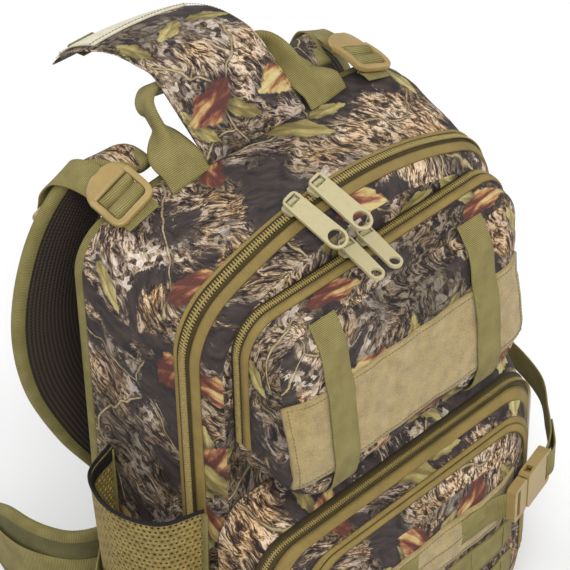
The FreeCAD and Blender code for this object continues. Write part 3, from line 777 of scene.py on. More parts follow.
def plain_weave(name, light, dark, pitch, roughness=0.8, depth=0.0002):
    """Plain cloth with soft changes of tone, and painted shade in the gaps of its weave."""
    g = Graph(name, roughness=roughness, specular=0.3)
    uv, along, across = g.cloth()
    weave = g.mul(g.wave(along, pitch), g.wave(across, pitch))
    # Random changes of tone, plus painted shade where the weave's threads dip.
    tone = g.mad(g.noise(uv, 6.0, 4.0), 0.6, g.mul(weave, 0.5))
    return g.done(g.ramp(tone, (0.25, *dark), (0.7, *light)), g.bump(weave, depth, 0.7))


CAMO = camo_cloth()
# The two colours of each webbing are its painted highlight and its painted shade.
OLIVE = webbing_cloth("webbing", (160, 148, 92), (94, 86, 42), 0.0125)
BINDING = webbing_cloth("binding", (152, 142, 86), (92, 84, 42), 0.012)
THREAD = webbing_cloth("thread", (140, 130, 78), (108, 98, 54), 0.006, 0.0001)
TAPE = tape_cloth()
COIL = plain_plastic("zip_coil", (172, 152, 90), (128, 110, 56), 0.42, 0.45, 900.0, 2.0, 0.4)
PULLS = painted_metal("pull_paint", (176, 165, 124), (130, 122, 90), 0.42)
SLIDERS = painted_metal("slider_metal", (170, 161, 118), (108, 100, 76), 0.36)
LOOP = pile_cloth("loop_pile", (178, 155, 100), (138, 117, 70))
HOOK = pile_cloth("hook_tape", (236, 229, 205), (206, 197, 166))
BUCKLE = moulded_plastic()
NET = plain_weave("pocket_mesh", (160, 140, 78), (118, 100, 50), 0.006, 0.7)
# The dark colour of each knit is painted shade in the gaps between its loops.
ELASTIC = knit_cloth("elastic", (34, 31, 28), (12, 11, 10), 0.02, 0.008, 0.0003)
SPACER = knit_cloth("spacer_mesh", (74, 60, 49), (24, 18, 14), 0.030, 0.024, 0.0012)
LINING = plain_weave("lining", (96, 90, 66), (70, 64, 44), 0.006)
# Dark cloth under each zip's coil: painted shade between the coil's turns and along both its sides.
ZIP_BED_PAINTED_SHADE = plain_weave("zip_bed_painted_shade", (84, 70, 32), (50, 41, 17), 0.008)
WING_CLOTH = plain_weave("wing_cloth", (112, 106, 64), (74, 70, 38), 0.012, 0.75, 0.0003)
BASE_CLOTH = plain_weave("base_cloth", (70, 66, 54), (44, 41, 33), 0.012, 0.75, 0.0004)
SHEET = plain_plastic("sheet_plastic", (46, 45, 44), (28, 28, 28), 0.5, 0.4, 400.0, 3.0, 0.5)


# ---- bag body ----
def seam_fade(points, depths, reach):
    """0 on the seams at these depths, 1 further than reach from all of them."""
    away = np.min([np.abs(points[:, 1] - y) for y in depths], axis=0)
    return np.clip(away / reach, 0, 1)


def bag_body():
    """Skins of the rear bag, with its grooved seam, and of the front panel."""
    seams = (ZIP_Y, PANEL_Y)
    rear = cloth_skin("rear_bag_skin", BODY[3:], CAMO, front=False)
    points = coords(rear)
    inflate(rear, (seam_fade(points, seams, 3.0) < 0.5) | (points[:, 2] < 20), 2.5, 3.5)
    crumple(rear, 1.5, seam_fade(coords(rear), (*seams, SEAM_Y), 14.0), 34.0, 1.3, (1, 1.5, 0.8))
    points = coords(rear)
    groove = np.exp(-((points[:, 1] - SEAM_Y) / 2.4) ** 2) * 1.5
    set_coords(rear, points - normals(rear) * groove[:, None])
    finish_piece(rear, "pack", ["rear_bag"], 1)
    front = cloth_skin("front_panel_skin", BODY[:3], CAMO, shift=(410, 130), back=False)
    crumple(front, 1.0, seam_fade(coords(front), (ZIP_Y - 0.4,), 16.0), 30.0, 5.2)
    finish_piece(front, "pack", ["front_panel"], 1)


def pocket_skin(node, outlines, seams, shift, cap, seed, lean=0.0):
    """Pocket's cloth: laid over its outlines, leant back at the top, swollen between its seams, creased."""
    skin = cloth_skin(node + "_skin", outlines, CAMO, shift=shift)
    points = coords(skin)
    forward = np.clip((LEAN_FROM - points[:, 1]) / 36.0, 0, 1)
    points[:, 1] += lean * forward * np.clip((points[:, 2] - TOP + 172) / 125.0, 0, 1)
    set_coords(skin, points)
    pinned = seam_fade(points, seams, 5.0) < 0.5
    relax(skin, 5, pinned, 0.45)
    inflate(skin, pinned, 5.0, cap)
    crumple(skin, 1.5, seam_fade(coords(skin), seams, 12.0), 27.0, seed)
    return finish_piece(skin, "pack", [node], 1)


# ---- zips ----
TAPE_LIFT, TAPE_SINK = 0.4, 0.8     # how far a tape stands off the cloth, and how deep its back reaches


def tape_band(name, outlines, stops, z_low, thick, material, shift):
    """Band that follows the cloth over the arch, between depths; stops are (depth, extra lift) pairs."""
    lines = [over_line(outlines, y, TAPE_LIFT + extra + thick, z_low) for y, extra in stops]
    lines += [over_line(outlines, y, TAPE_LIFT + extra - TAPE_SINK, z_low) for y, extra in reversed(stops)]
    count = int(len(lines[0]) * 1.2)
    rows = np.array([resample(line, count=count) for line in lines]).transpose(1, 0, 2)
    shape = Shape()
    shape.tube(rows, measured(np.concatenate([rows, rows[:, :1]], 1)))
    return shape.mesh(name, material, shift=(shift, 0))


def coil(name, outlines, y, z_low, width, pitch, lift):
    """Row of coil turns lying across the zip."""
    line = resample(over_line(outlines, y, lift, z_low), step=pitch)
    shape = Shape()
    depth = np.array([0.0, 1.0, 0.0])
    for p, a in zip(line, tangents(line)):
        out = np.cross(a, depth)
        bead(shape, p, unit(depth + a * 0.22), out, width, pitch * 0.31)
    cord = over_line(outlines, y, lift - 0.5, z_low)
    sweep(shape, resample(cord, step=3.0), depth, [(-0.8, 0), (0, 0.8), (0.8, 0), (0, -0.6)])
    return shape.mesh(name, COIL, weld=0)


def zips():
    """Each zip: node, cloth, depth, lowest point, its teeth's width, pitch and lift, and its woven bands.
    A band has a kind, a material, (depth, lift) pairs, a thickness and a shift of its weave."""
    # Bands of kind tape are the dark bed under each coil: painted shade between and beside its turns.
    zip_rows = (
        ("main_zip", BODY, ZIP_Y, 70, (7.0, 2.3, 1.9), (
            ("tape", ZIP_BED_PAINTED_SHADE, ((-52, 0), (-46, 0.2), (-41, 0)), 0.6, 0),
            ("edge", TAPE, ((-41.2, 0.2), (-40, 0.7), (-38.4, 0.2)), 0.8, 11),
            ("facing", TAPE, ((-57.6, 0.2), (-55.5, 0.9), (-53, 1.3), (-51.4, 1.1)), 1.0, 33))),
        ("upper_zip", UPPER, UPPER_ZIP_Y, TOP - 150, (5.8, 2.0, 1.6), (
            ("tape", ZIP_BED_PAINTED_SHADE, ((-81, 0), (-76, 0.2), (-71, 0)), 0.6, 0),
            ("facing", TAPE, ((-86.4, 0.1), (-84, 0.7), (-80.8, 0.8)), 0.9, 21))),
        ("lower_zip", LOWER, LOWER_ZIP_Y, 60, (5.8, 2.0, 1.6), (
            ("tape", ZIP_BED_PAINTED_SHADE, ((-110, 0), (-106, 0.2), (-101, 0)), 0.6, 0),
            ("facing", TAPE, ((-116.5, 0.2), (-113, 0.8), (-110.4, 0.9)), 0.9, 57))),
        ("lower_piping", LOWER, PIPING_Y, 80, None, (
            ("upper", TAPE, ((-128.4, 1.0), (-127, 1.9), (-125.6, 1.0)), 1.0, 0),
            ("lower", TAPE, ((-131.6, 0.9), (-130.2, 1.6), (-128.9, 0.9)), 1.0, 9))))
    for node, outlines, y, z_low, teeth, bands in zip_rows:
        for kind, cloth, stops, thick, shift in bands:
            band = tape_band(f"{node}_{kind}", outlines, stops, z_low, thick, cloth, shift)
            finish_piece(band, "pack", [node])
        if teeth:
            finish_piece(coil(node + "_coil", outlines, y, z_low, *teeth), "pack", [node])


# ---- panels and webbing on the pockets ----
PANEL_STITCH = (3.2, 2.4, 0.35)     # pitch, length and radius of a stitch
BAR_TACK = (1.6, 1.5, 0.4)
LADDER_PITCH = 38
LOOK_FROM, LOOK_FAR = -220.0, 200.0  # where the search for a pocket's cloth starts, and how far it goes
HUB_Y, HUB_REACH = -90.0, 90        # depth inside the upper pocket that webbing is wrapped round, and reach


def on_skin(tree, x, z, lift, fallback):
    """Depth of the cloth's front at (x, z), less the lift."""
    hit = tree.ray_cast(Vector((x, LOOK_FROM, z)), Vector((0, 1, 0)), LOOK_FAR)[0]
    return (hit.y if hit else fallback) - lift


def seam(thread, tree, xs, zs, lift, fallback, *stitch):
    """Stitches along the front of a pocket; xs and zs are numbers or rows of numbers."""
    line = [(x, on_skin(tree, x, z, lift, fallback), z) for x, z in np.broadcast(xs, zs)]
    stitches(thread, line, (0, -1, 0), *stitch)


def laid_panel(name, tree, x_half, z_low, z_high, thick, material, fallback, rough, smoothing=2):
    """Flat panel sewn on to a pocket's front, following its swell."""
    quad = 3.2
    xs = np.linspace(-x_half, x_half, int(2 * x_half / quad))
    zs = np.linspace(z_low, z_high, max(4, int((z_high - z_low) / quad)))
    depth = np.array([[on_skin(tree, x, z, 0.3, fallback) for x in xs] for z in zs])
    for _ in range(smoothing):
        padded = np.pad(depth, 1, mode="edge")
        beside = padded[1:-1, :-2] + padded[1:-1, 2:]
        depth = (beside + padded[:-2, 1:-1] + padded[2:, 1:-1] + depth * 2) / 6
    top = np.array([[(x, depth[i, j] - thick, z) for j, x in enumerate(xs)] for i, z in enumerate(zs)])
    if rough:
        for row in top[1:-1]:
            for p in row[1:-1]:
                p[1] -= rough * noise.noise(Vector((p[0], 3.0, p[2])) * 0.35)
    inner = top.copy()
    inner[..., 1] += thick + 1.2
    shape = Shape()
    shape.plate(top, inner, top[..., [0, 2]], inner[..., [0, 2]])
    return shape.mesh(name, material)


def wrapped(tree, point, lift):
    """Point pushed on to the pocket's outside along a line from the pocket's middle, plus the lift."""
    hub = np.array([point[0], HUB_Y, np.clip(point[2], TOP - 172, TOP - 66)])
    out = unit(point - hub)
    hit = tree.ray_cast(Vector(hub + out * HUB_REACH), Vector(-out), 120.0)[0]
    return np.array(hit) + out * lift if hit else point


def upper_front(skin):
    """Loop panel and two upright webbings on the upper pocket."""
    tree = tree_of(skin)
    half, z_low, z_high, inset = 119, TOP - 162, TOP - 94, 3.2
    panel = laid_panel("loop_panel_pile", tree, half, z_low, z_high, 1.7, LOOP, -121, 0.5)
    finish_piece(panel, "pack", ["loop_panel"])
    thread = Shape()
    for z in (z_low + inset, z_high - inset):
        seam(thread, tree, np.linspace(3 - half, half - 3, 40), z, 2.3, -122, *PANEL_STITCH)
    for x in (inset - half, half - inset):
        seam(thread, tree, x, np.linspace(z_low + 3, z_high - 3, 12), 2.3, -122, *PANEL_STITCH)
    finish_piece(thread.mesh("loop_panel_stitching", THREAD, weld=0), "pack")
    both = tree_of(skin, panel)
    for side, s in SIDES:
        path = ((-104, 39.6), (-113, 42.2), (-119.5, 47), (-123.6, 58), (-125.0, 110), (-124.0, 162),
                (-121.5, 176), (-114, 189), (-100, 193.5))
        route = spline([(74.0 * s, y, TOP - drop) for y, drop in path], 2.5)
        laid = np.array([wrapped(both, p, 1.9) for p in route])
        for _ in range(6):
            laid[1:-1] = (laid[:-2] + laid[1:-1] * 2 + laid[2:]) / 4
        webbing("pocket_webbing_" + side, laid, (1, 0, 0), WEB, 1.5, "pack", "pocket_webbing")


def lower_front(skin):
    """Loop band and three rows of ladder webbing on the lower pocket."""
    tree = tree_of(skin)
    half, face = 92, -142
    band = laid_panel("lower_loop_band_pile", tree, half, TOP - 306, TOP - 268, 1.6, LOOP, face, 0.4)
    finish_piece(band, "pack", ["lower_loop_band"])
    thread = Shape()
    for z in (TOP - 303, TOP - 287, TOP - 271):
        seam(thread, tree, np.linspace(2 - half, half - 2, 30), z, 2.2, face, *PANEL_STITCH)
    for row in range(3):
        top = TOP - 314 - LADDER_PITCH * row
        made = laid_panel(f"ladder_webbing_{row + 1}", tree, half, top - WEB, top, 1.5, OLIVE, face, 0.0, 3)
        finish_piece(made, "pack", ["ladder_webbing"])
        for column in np.arange(-2, 3) * LADDER_PITCH:
            seam(thread, tree, column, np.linspace(top - WEB + 2, top - 2, 8), 2.1, face, *BAR_TACK)
    finish_piece(thread.mesh("lower_stitching", THREAD, weld=0), "pack")


# ---- thin padded sheets ----
def slab_normals(middle):
    """Unit normals of a surface given as rows of points."""
    ahead = np.gradient(middle, axis=0)
    beside = np.gradient(middle, axis=1)
    return unit(np.cross(ahead, beside))


def slab(name, middle, thick, materials, shift):
    """Closed sheet round a middle surface, with one thickness or one per point. Slot 0 faces the normals."""
    middle = np.asarray(middle, float)
    half = np.broadcast_to(np.asarray(thick, float), middle.shape[:2])[..., None] / 2
    out = slab_normals(middle)
    upper, lower = middle + out * half, middle - out * half
    uv = measured(middle)
    shape = Shape()
    shape.plate(upper, lower, uv, uv, slot=1 if isinstance(materials, tuple) else 0)
    return shape.mesh(name, materials, shift=shift)


def between_edges(left, right, cols):
    """Surface between two lines with the same number of points."""
    t = np.linspace(0, 1, cols)[None, :, None]
    return left[:, None] * (1 - t) + right[:, None] * t


def edge_thickness(rows, cols, full, edge, power=4):
    """Full in the middle, thinner at the edges of a sheet."""
    u = np.abs(np.linspace(-1, 1, rows))[:, None] ** (power * 2.5)
    v = np.abs(np.linspace(-1, 1, cols))[None, :] ** power
    return full - (full - edge) * np.maximum(u, v)


# ---- flap and handle ----
FLAP_X0, FLAP_X1 = -49.0, 46.0
FLAP_ROWS, FLAP_COLS = 64, 30
HOOK_ROWS = slice(45, 61)           # rows of the flap that its hook strip covers
FLAP_LEFT = [(30, 1), (49, 19), (75, 42), (92, 52), (131, 49), (172, 33), (196, 12)]
FLAP_RIGHT = [(30, 1), (44, 15), (66, 35), (88, 47), (121, 47), (158, 33), (192, 10)]


def flap_surface(grow=0.0):
    """Middle surface of the flap: it rises from the seam, arches back and curls down at its far end."""
    left = ABOVE + [(FLAP_X0 + grow, y, z) for y, z in FLAP_LEFT]
    right = ABOVE + [(FLAP_X1 - grow, y, z) for y, z in FLAP_RIGHT]
    middle = between_edges(spline(left, count=FLAP_ROWS), spline(right, count=FLAP_ROWS), FLAP_COLS)
    s = np.linspace(0, 1, FLAP_ROWS)[:, None]
    t = np.linspace(-1, 1, FLAP_COLS)[None, :]
    middle[..., 2] += np.sin(s * math.pi) * (1 - t ** 2) * 3.0 - s ** 3 * t ** 2 * 3.0
    return middle


def flap():
    """Closure flap with its hook strip, stitching and pull tab."""
    middle = flap_surface()
    thick = edge_thickness(FLAP_ROWS, FLAP_COLS, 3.4, 2.0)
    piece = slab("flap_cloth", middle, thick, CAMO, shift=(180, 620))
    crumple(piece, 0.9, 1.0, 26.0, 8.8)
    finish_piece(piece, "flap", ["flap"], 1)
    inner = flap_surface(4.5)
    out = -slab_normals(inner)
    out = out * np.where(out[..., 2:3] < 0, -1, 1)
    strip = inner[HOOK_ROWS] + out[HOOK_ROWS] * 2.6
    cloth = slab("flap_hook_pad", strip, 1.5, HOOK, shift=(15, 5))
    finish_piece(cloth, "flap", ["flap_hook_strip"])
    thread = Shape()
    for column in (1, FLAP_COLS - 2):
        stitches(thread, middle[2:62, column] + out[2:62, column] * 2.2, out[30, column], 3.3, 2.3, 0.33)
    for row in (1, -2):
        stitches(thread, strip[row] + out[HOOK_ROWS][row] * 1.1, (0, 0, 1), 3.0, 2.2, 0.33)
    finish_piece(thread.mesh("flap_stitching", THREAD, weld=0), "flap")
    end = middle[-1].mean(0)
    fold = ((-9, 7.0), (-1, 4.5), (6, 4.0), (8, 2.0), (5, 0.5), (-9, 2.0))
    route = spline([end + (-14, y, z) for y, z in fold], 1.5)
    webbing("flap_tab_webbing", route, (1, 0, 0), 24, 1.5, "flap", "flap_pull_tab")


def folded_profile(width, thick, fold):
    """Webbing bent along its middle: fold is 0 when flat and pi when doubled."""
    s = np.linspace(-width / 2, width / 2, 17)
    heading = fold / 2 * np.tanh(s / 2.2)
    step = s[1] - s[0]
    between = (heading[1:] + heading[:-1]) / 2
    line = np.stack([running(np.cos(between) * step), running(np.sin(between) * step)], 1)
    line -= line[len(s) // 2]
    side = np.stack([-np.sin(heading), np.cos(heading)], 1) * thick / 2
    return np.vstack([line + side, (line - side)[::-1]])


def handle():
    """Wide webbing, flat where it is sewn in and folded double round the grip."""
    route = spline(ABOVE + [(-67, 29, -2), (-67.5, 36, 7), (-68, 48, 20), (-68, 60, 33), (-64, 71, 43),
                            (-50, 80, 44), (-25, 86, 37), (0, 88, 34), (25, 88, 35), (46, 85, 39),
                            (58, 77, 39), (64, 65, 32), (66, 50, 20), (68, 36, 8), (69, 29, -2)], 2.5)
    t = np.linspace(0, 1, len(route))
    leg = np.minimum(t, 1 - t)
    fold = math.pi * 0.94 * np.clip((leg - 0.05) / 0.12, 0, 1) ** 1.2
    profile = np.array([folded_profile(WIDE_WEB, 1.7, f) for f in fold])
    share = fold / fold.max()
    spine = np.stack([-0.55 * share * np.cos(math.pi * t), -0.35 - 0.25 * share, 1.0 - 0.43 * share], 1)
    across = unit(np.cross(tangents(route), spine))
    grip = swept("carry_handle_webbing", route, across, profile, OLIVE)
    finish_piece(grip, "carry_handle", ["carry_handle"])


# ---- harness ----
LOCK_AT = ABOVE + (118.0, 27.6, 1.0)
LOCK_SLOPE, LOCK_RISE = math.radians(22), math.radians(14)  # down to the side, and up to the back
MOULDED = (0.55, 0.55, 16)          # roundness of a moulded bar, across and out, and its points
LOCK_ACROSS = np.array([math.cos(LOCK_SLOPE), 0, -math.sin(LOCK_SLOPE)])
LOCK_ALONG = np.array([0, math.cos(LOCK_RISE), math.sin(LOCK_RISE)])
LOCK_AXES = np.array([LOCK_ACROSS, LOCK_ALONG, unit(np.cross(LOCK_ACROSS, LOCK_ALONG))])


def mirror(points, s):
    """Points of the right side, on side s."""
    return np.asarray(points, float) * (s, 1, 1)


def lock_place(points, s):
    """Points given across, along and out of the ladder lock."""
    return mirror(LOCK_AT + np.asarray(points, float) @ LOCK_AXES, s)


def ladder_lock(side, s):
    """Moulded frame with arched rails, two cross bars and a rounded tab to lift it by."""
    half, legs, tab_half, tab_from = 16.9, 30, 19.4, 27.4
    edge = ((half, legs), (half, 20), (half, 9), (half - 1.2, 4.6), (half - 4.6, 2.7), (6, 2.6))
    rail = spline(list(edge) + [(-x, y) for x, y in edge[::-1]], 1.2)
    rail = [(x, y, 1.5 * math.sin(math.pi * min(1.0, y / legs)) if y > 2.6 else 0.2) for x, y in rail]
    rail = lock_place(rail, s)
    shape = Shape()
    across = unit(np.cross(tangents(rail), LOCK_AXES[2] * (s, 1, 1)))
    sweep(shape, rail, across, power_oval(5.2, 5.4, *MOULDED))
    for at in (12.4, 22.9):
        bar = lock_place([(x, at, 0.1) for x in np.linspace(-half, half, 8)], s)
        sweep(shape, bar, LOCK_ALONG, power_oval(3.4, 3.0, *MOULDED))
    turn = np.linspace(0, math.pi / 2 * 0.96, 14)
    reach, wide = tab_from + 14.4 * np.sin(turn), tab_half * np.cos(turn) ** 0.62
    middle = np.array([[(w * t, y, 0.9 + 0.006 * (y - tab_from) ** 2 - 1.2 * t * t * w / tab_half)
                        for t in np.linspace(-1, 1, 15)] for y, w in zip(reach, wide)])
    middle = lock_place(middle, s)
    thick = edge_thickness(14, 15, 4.6, 2.4, 6)
    half_thick = slab_normals(middle) * thick[..., None] / 2
    shape.plate(middle + half_thick, middle - half_thick)
    node = f"ladder_lock_{side}"
    finish_piece(shape.mesh("ladder_lock_body_" + side, BUCKLE), node, [node], 1)


def lock_webbing(side, s):
    """Webbing woven through the ladder lock, its anchor on the bag, and the load lifter to the strap."""
    def laid(points):
        return lock_place([(0, along, out) for along, out in points], 1)
    across = LOCK_ACROSS * (s, 1, 1)
    weave = ((5.0, -5.0), (6.2, -1.5), (8.6, 2.6), (12.4, 3.3), (16.0, 1.6), (17.6, -1.0), (19.2, 1.2),
             (21.6, 3.3), (24.6, 2.8), (26.4, -0.6), (28.0, -4.2), (33.0, -6.0))
    route = mirror(spline(laid(weave), 1.2), s)
    webbing("lock_webbing_" + side, route, across, 28.5, 1.5, f"ladder_lock_{side}")
    anchor = mirror(spline(laid(((-5, -4.0), (-2.5, -3.8), (0.5, -3.8), (4, -4.6))), 1.5), s)
    webbing("lock_anchor_" + side, anchor, across, 28, 1.4, "pack", "lock_anchors")
    lifter = spline(ABOVE + [(118, 56, 2), (119, 72, 4.5), (121, 88, 4), (123, 101, -1), (124.5, 110.5, -14),
                             (124, 114, -27), (124, 113.5, -36), (124, 113, -50)], 2.0)
    piece = webbing("load_lifter_" + side, mirror(lifter, s), across, WEB, 1.5, None)
    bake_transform(piece)


def edge_binding(name, line, out, wide, thick, material=BINDING):
    """Tape folded round the edge of a pad; out points away from the pad."""
    return swept(name, line, out, power_oval(wide, thick, 1.0, 0.7, 14), material)


def pad_outline(middle):
    """Line round a pad: down one edge, across the end and up the other."""
    left, right, end = middle[:, 0], middle[:, -1], middle[-1]
    line = resample(np.vstack([left, end[2:-2], right[::-1]]), step=3.0)
    line[1:-1] = (line[:-2] + 2 * line[1:-1] + line[2:]) / 4
    return line


PAD_HELD = 6.5              # the cloth of a pad is held within this of its edge
BELT_Z, WING_HALF = 102.0, 40   # height of the hip belt, and half of a wing's
WING_TAPER = 14             # how much of that half a wing loses at its end


def pad_piece(name, middle, full, edge, materials, shift, cap, body):
    """Padded part of the harness, swollen inside its taped edge, for the node named like its body."""
    rows, cols = middle.shape[:2]
    pad = slab(name, middle, edge_thickness(rows, cols, full, edge), materials, shift=shift)
    border = np.vstack([middle[:, 0], middle[:, -1], middle[-1], middle[0]])
    away = np.min(np.linalg.norm(coords(pad)[:, None] - border[None], axis=2), axis=1)
    inflate(pad, away < PAD_HELD, 4.0, cap, 14)
    finish_piece(pad, body, [body], 1)


def pad_tape(name, middle, inset, wide, thick, body):
    """Binding round a pad, its middle line inset from the pad's edge."""
    line = pad_outline(middle)
    inner = middle[:, middle.shape[1] // 2]
    nearest = np.argmin(np.linalg.norm(line[:, None] - inner[None], axis=2), axis=1)
    out = unit(line - inner[nearest])
    finish_piece(edge_binding(name, line - out * inset, out, wide, thick), body)


def level(line, s, z):
    """Points at one height, from (x, y) pairs, on side s."""
    return np.array([(x * s, y, z) for x, y in line])


def shoulder_strap(side, s):
    """S-shaped pad: camouflage outside, spacer mesh inside, taped all round."""
    path = ABOVE + [(87, 60, 2), (89, 74, 6), (93, 88, 2.5), (101, 98, -13), (128, 100, -52),
                    (146, 100, -104), (143, 100, -158), (122, 100, -214), (100, 100, -262), (86, 100, -300)]
    facing = [(0, 0, 1), (0, 0.2, 1), (0, 0.8, 0.8), (0, 1, 0.25)] + [(0, 1, 0)] * 6
    width = [24, 26, 35, 48, 60, 62, 62, 60, 50, 36]
    both = spline(np.hstack([path, facing, np.array(width)[:, None]]), count=96)
    centre, face, half = both[:, :3], unit(both[:, 3:6]), both[:, 6:] / 2
    across = unit(np.cross(face, tangents(centre)))
    middle = mirror(between_edges(centre - across * half, centre + across * half, 17), s)
    if s < 0:
        middle = middle[:, ::-1]
    if slab_normals(middle)[50, 8, 1] < 0:
        middle = middle[:, ::-1]
    body = f"shoulder_strap_{side}"
    pad_piece("shoulder_pad_" + side, middle, 12.0, 7.0, (CAMO, SPACER), (s * 90, 300), 2.5, body)
    pad_tape("shoulder_binding_" + side, middle, 5.0, 15.0, 9.6, body)
    web = spline([(83, 99, TOP - 296), (83, 110.5, TOP - 308), (83, 111, TOP - 318), (82.5, 101, TOP - 331),
                  (82.5, 96, 100), (82.5, 92, 78), (82.5, 80, 54), (82.5, 62, 39)], 3.0)
    web = mirror(web, s)
    strap = webbing("lower_strap_" + side, web, (1, 0, 0), WEB, 1.6, None, f"strap_webbing_{side}")
    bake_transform(strap)


def hip_wing(side, s):
    """Padded wing that bends round the hip and narrows at its end, with its belt webbing."""
    route = spline([(114, 69.2), (138, 73), (160, 88), (172, 122), (170, 164)], count=44)
    t = np.linspace(0, 1, len(route))
    reach = WING_HALF - WING_TAPER * np.clip((t - 0.72) / 0.28, 0, 1) ** 2
    bottom, top = level(route, s, BELT_Z), level(route, s, BELT_Z)
    bottom[:, 2] -= reach
    top[:, 2] += reach
    middle = between_edges(bottom, top, 19)
    if slab_normals(middle)[20, 9, 0] * s < 0:
        middle = middle[:, ::-1]
    body = f"hip_wing_{side}"
    pad_piece("hip_pad_" + side, middle, 11.0, 7.0, (WING_CLOTH, SPACER), (s * 40 + 500, 80), 2.0, body)
    pad_tape("hip_binding_" + side, middle, 3.0, 10.0, 9.5, body)
    belt = spline([(139, 64.5), (164, 84), (180, 121), (178.5, 164), (178.3, 198)], 3.0)
    belt = level(belt, s, BELT_Z)
    webbing("belt_strap_" + side, belt, (0, 0, 1), WIDE_WEB, 1.6, body, f"belt_webbing_{side}")


def back_pads():
    """Back panel of spacer mesh, its binding, and three rows of pads."""
    shell = [arch(PANEL_Y - 1, BACK_HALF - 1, TOP - 2, 10.0, *BACK_ARCH),
             arch(BACK_Y - 8, BACK_HALF - 1, TOP - 2, 10.0, *BACK_ARCH),
             arch(BACK_Y - 6, BACK_HALF - 5, TOP - 6, 14.0, 30.0, 900.0)]
    base = cloth_skin("back_panel_skin", shell, SPACER)
    finish_piece(base, "pack", ["back_panel"], 0)
    line = resample(over_line(shell[:2], PANEL_Y + 2.5, 0.2, 12), step=4.0)
    finish_piece(edge_binding("back_binding", line, (0, 1, 0), 8.0, 3.4), "pack")
    for row, (z, height) in enumerate(((356, 120), (222, 116), (92, 112))):
        for side, s in SIDES:
            make_back_pad(f"back_pad_{side}_{row + 1}", s * 70.0, z, 118.0, height)


def make_back_pad(name, x, z, width, height):
    """Domed pad with rounded corners."""
    rows, cols = int(height / 5), int(width / 5)
    v, u = np.meshgrid(np.linspace(-1, 1, rows), np.linspace(-1, 1, cols), indexing="ij")
    squeeze = 1 - 0.12 * (u * v) ** 2
    dome = (1 - np.abs(u) ** 5) ** 0.5 * (1 - np.abs(v) ** 5) ** 0.5
    front = np.stack([x + u * width / 2 * squeeze, BACK_Y - 6.5 + dome * 6.0,
                      z + v * height / 2 * squeeze], 2)
    back = front.copy()
    back[..., 1] = BACK_Y - 8.5
    shape = Shape()
    shape.plate(front, back, front[..., [0, 2]])
    pad = shape.mesh(name, SPACER)
    inflate(pad, coords(pad)[:, 1] < BACK_Y - 5.5, 4.0, 2.0, 12)
    finish_piece(pad, "pack", [], 1)


def base_panel():
    """Reinforced cloth under the bag, with round corners."""
    corner = 14.0
    rows = []
    for z, grow in ((0.0, 0.0), (1.4, 0.8), (3.0, 0.8)):
        reach = corner + grow
        rows.append([(x + reach * math.cos(math.radians(a)), y + reach * math.sin(math.radians(a)), z)
                     for x, y, start in ((118, 44, 0), (-118, 44, 90), (-118, -46, 180), (118, -46, 270))
                     for a in np.linspace(start, start + 90, 8)])
    shape = Shape()
    shape.tube(np.array(rows), inward=True)
    finish_piece(shape.mesh("base_cloth_panel", BASE_CLOTH), "pack", ["base_panel"])


# ---- bottle pockets ----
RIM_Z, FLOOR_Z = TOP - 188.0, 24.0
BOTTLE_LEVELS = [(FLOOR_Z, 26, -52, 24), (110.0, 34, -62, 28), (RIM_Z, 44, -68, 30)]


def bottle_line(z, inset, count):
    """Bowed line of the net at a height, from its front edge to its back edge, as (x, y)."""
    levels = np.array(BOTTLE_LEVELS)
    bulge, front, back = (np.interp(z, levels[:, 0], levels[:, k]) for k in (1, 2, 3))
    wall = BACK_HALF + 1.2
    mid, span = (front + back) / 2, (back - front) * 0.36
    reach = bulge - inset
    points = [(wall, front + inset), (wall + reach * 0.72, mid - span), (wall + reach, mid),
              (wall + reach * 0.72, mid + span), (wall, back - inset)]
    return spline(points, count=count)


def net_cell(shape, at, uv):
    """One knitted cell with an eight-sided hole; at maps the cell's own (0..1, 0..1) to space."""
    hole = 0.27
    rim = [(0, 0), (0.5, 0), (1, 0), (1, 0.5), (1, 1), (0.5, 1), (0, 1), (0, 0.5)]
    eye = [(0.5 + hole * math.cos(a), 0.5 + hole * math.sin(a))
           for a in np.radians(np.arange(-135, 225, 45))]
    base = len(shape.verts)
    shape.verts.extend([at(*p) for p in rim + eye])
    for k in range(8):
        n = (k + 1) % 8
        shape.faces.append([base + k, base + n, base + 8 + n, base + 8 + k])
        shape.uvs.append([uv] * 4)
        shape.slots.append(0)


def bottle_net(side, s):
    """Knitted net round the bottle bay, a sheet of cells stretched between its rows. Gives the lines of its
    rows.
    """
    pitch, cols, rise = 4.5, 34, RIM_Z - 1 - FLOOR_Z
    rows = int(rise / pitch)
    heights = [FLOOR_Z + rise * i / rows for i in range(rows + 1)]
    lines = np.array([np.insert(bottle_line(z, 0.6, cols * 2 + 1), 2, z, axis=1) for z in heights])
    shape = Shape()
    for i in range(rows):
        for j in range(i % 2, cols * 2 - 1, 2):
            a, b = lines[i, j:j + 3], lines[i + 1, j:j + 3]

            def at(u, v, a=a, b=b):
                k = 0 if u < 0.5 else 1
                t = u * 2 - k
                low = a[k] + (a[k + 1] - a[k]) * t
                high = b[k] + (b[k + 1] - b[k]) * t
                p = low + (high - low) * v
                return [p[0] * s, p[1], p[2]]

            net_cell(shape, at, (j * 2.0, i * pitch))
    net = shape.mesh("bottle_net_" + side, NET)
    solid = net.modifiers.new("thread", "SOLIDIFY")
    solid.thickness = 0.9 * MM
    finish_piece(net, "pack", [f"bottle_pocket_{side}"])
    return lines


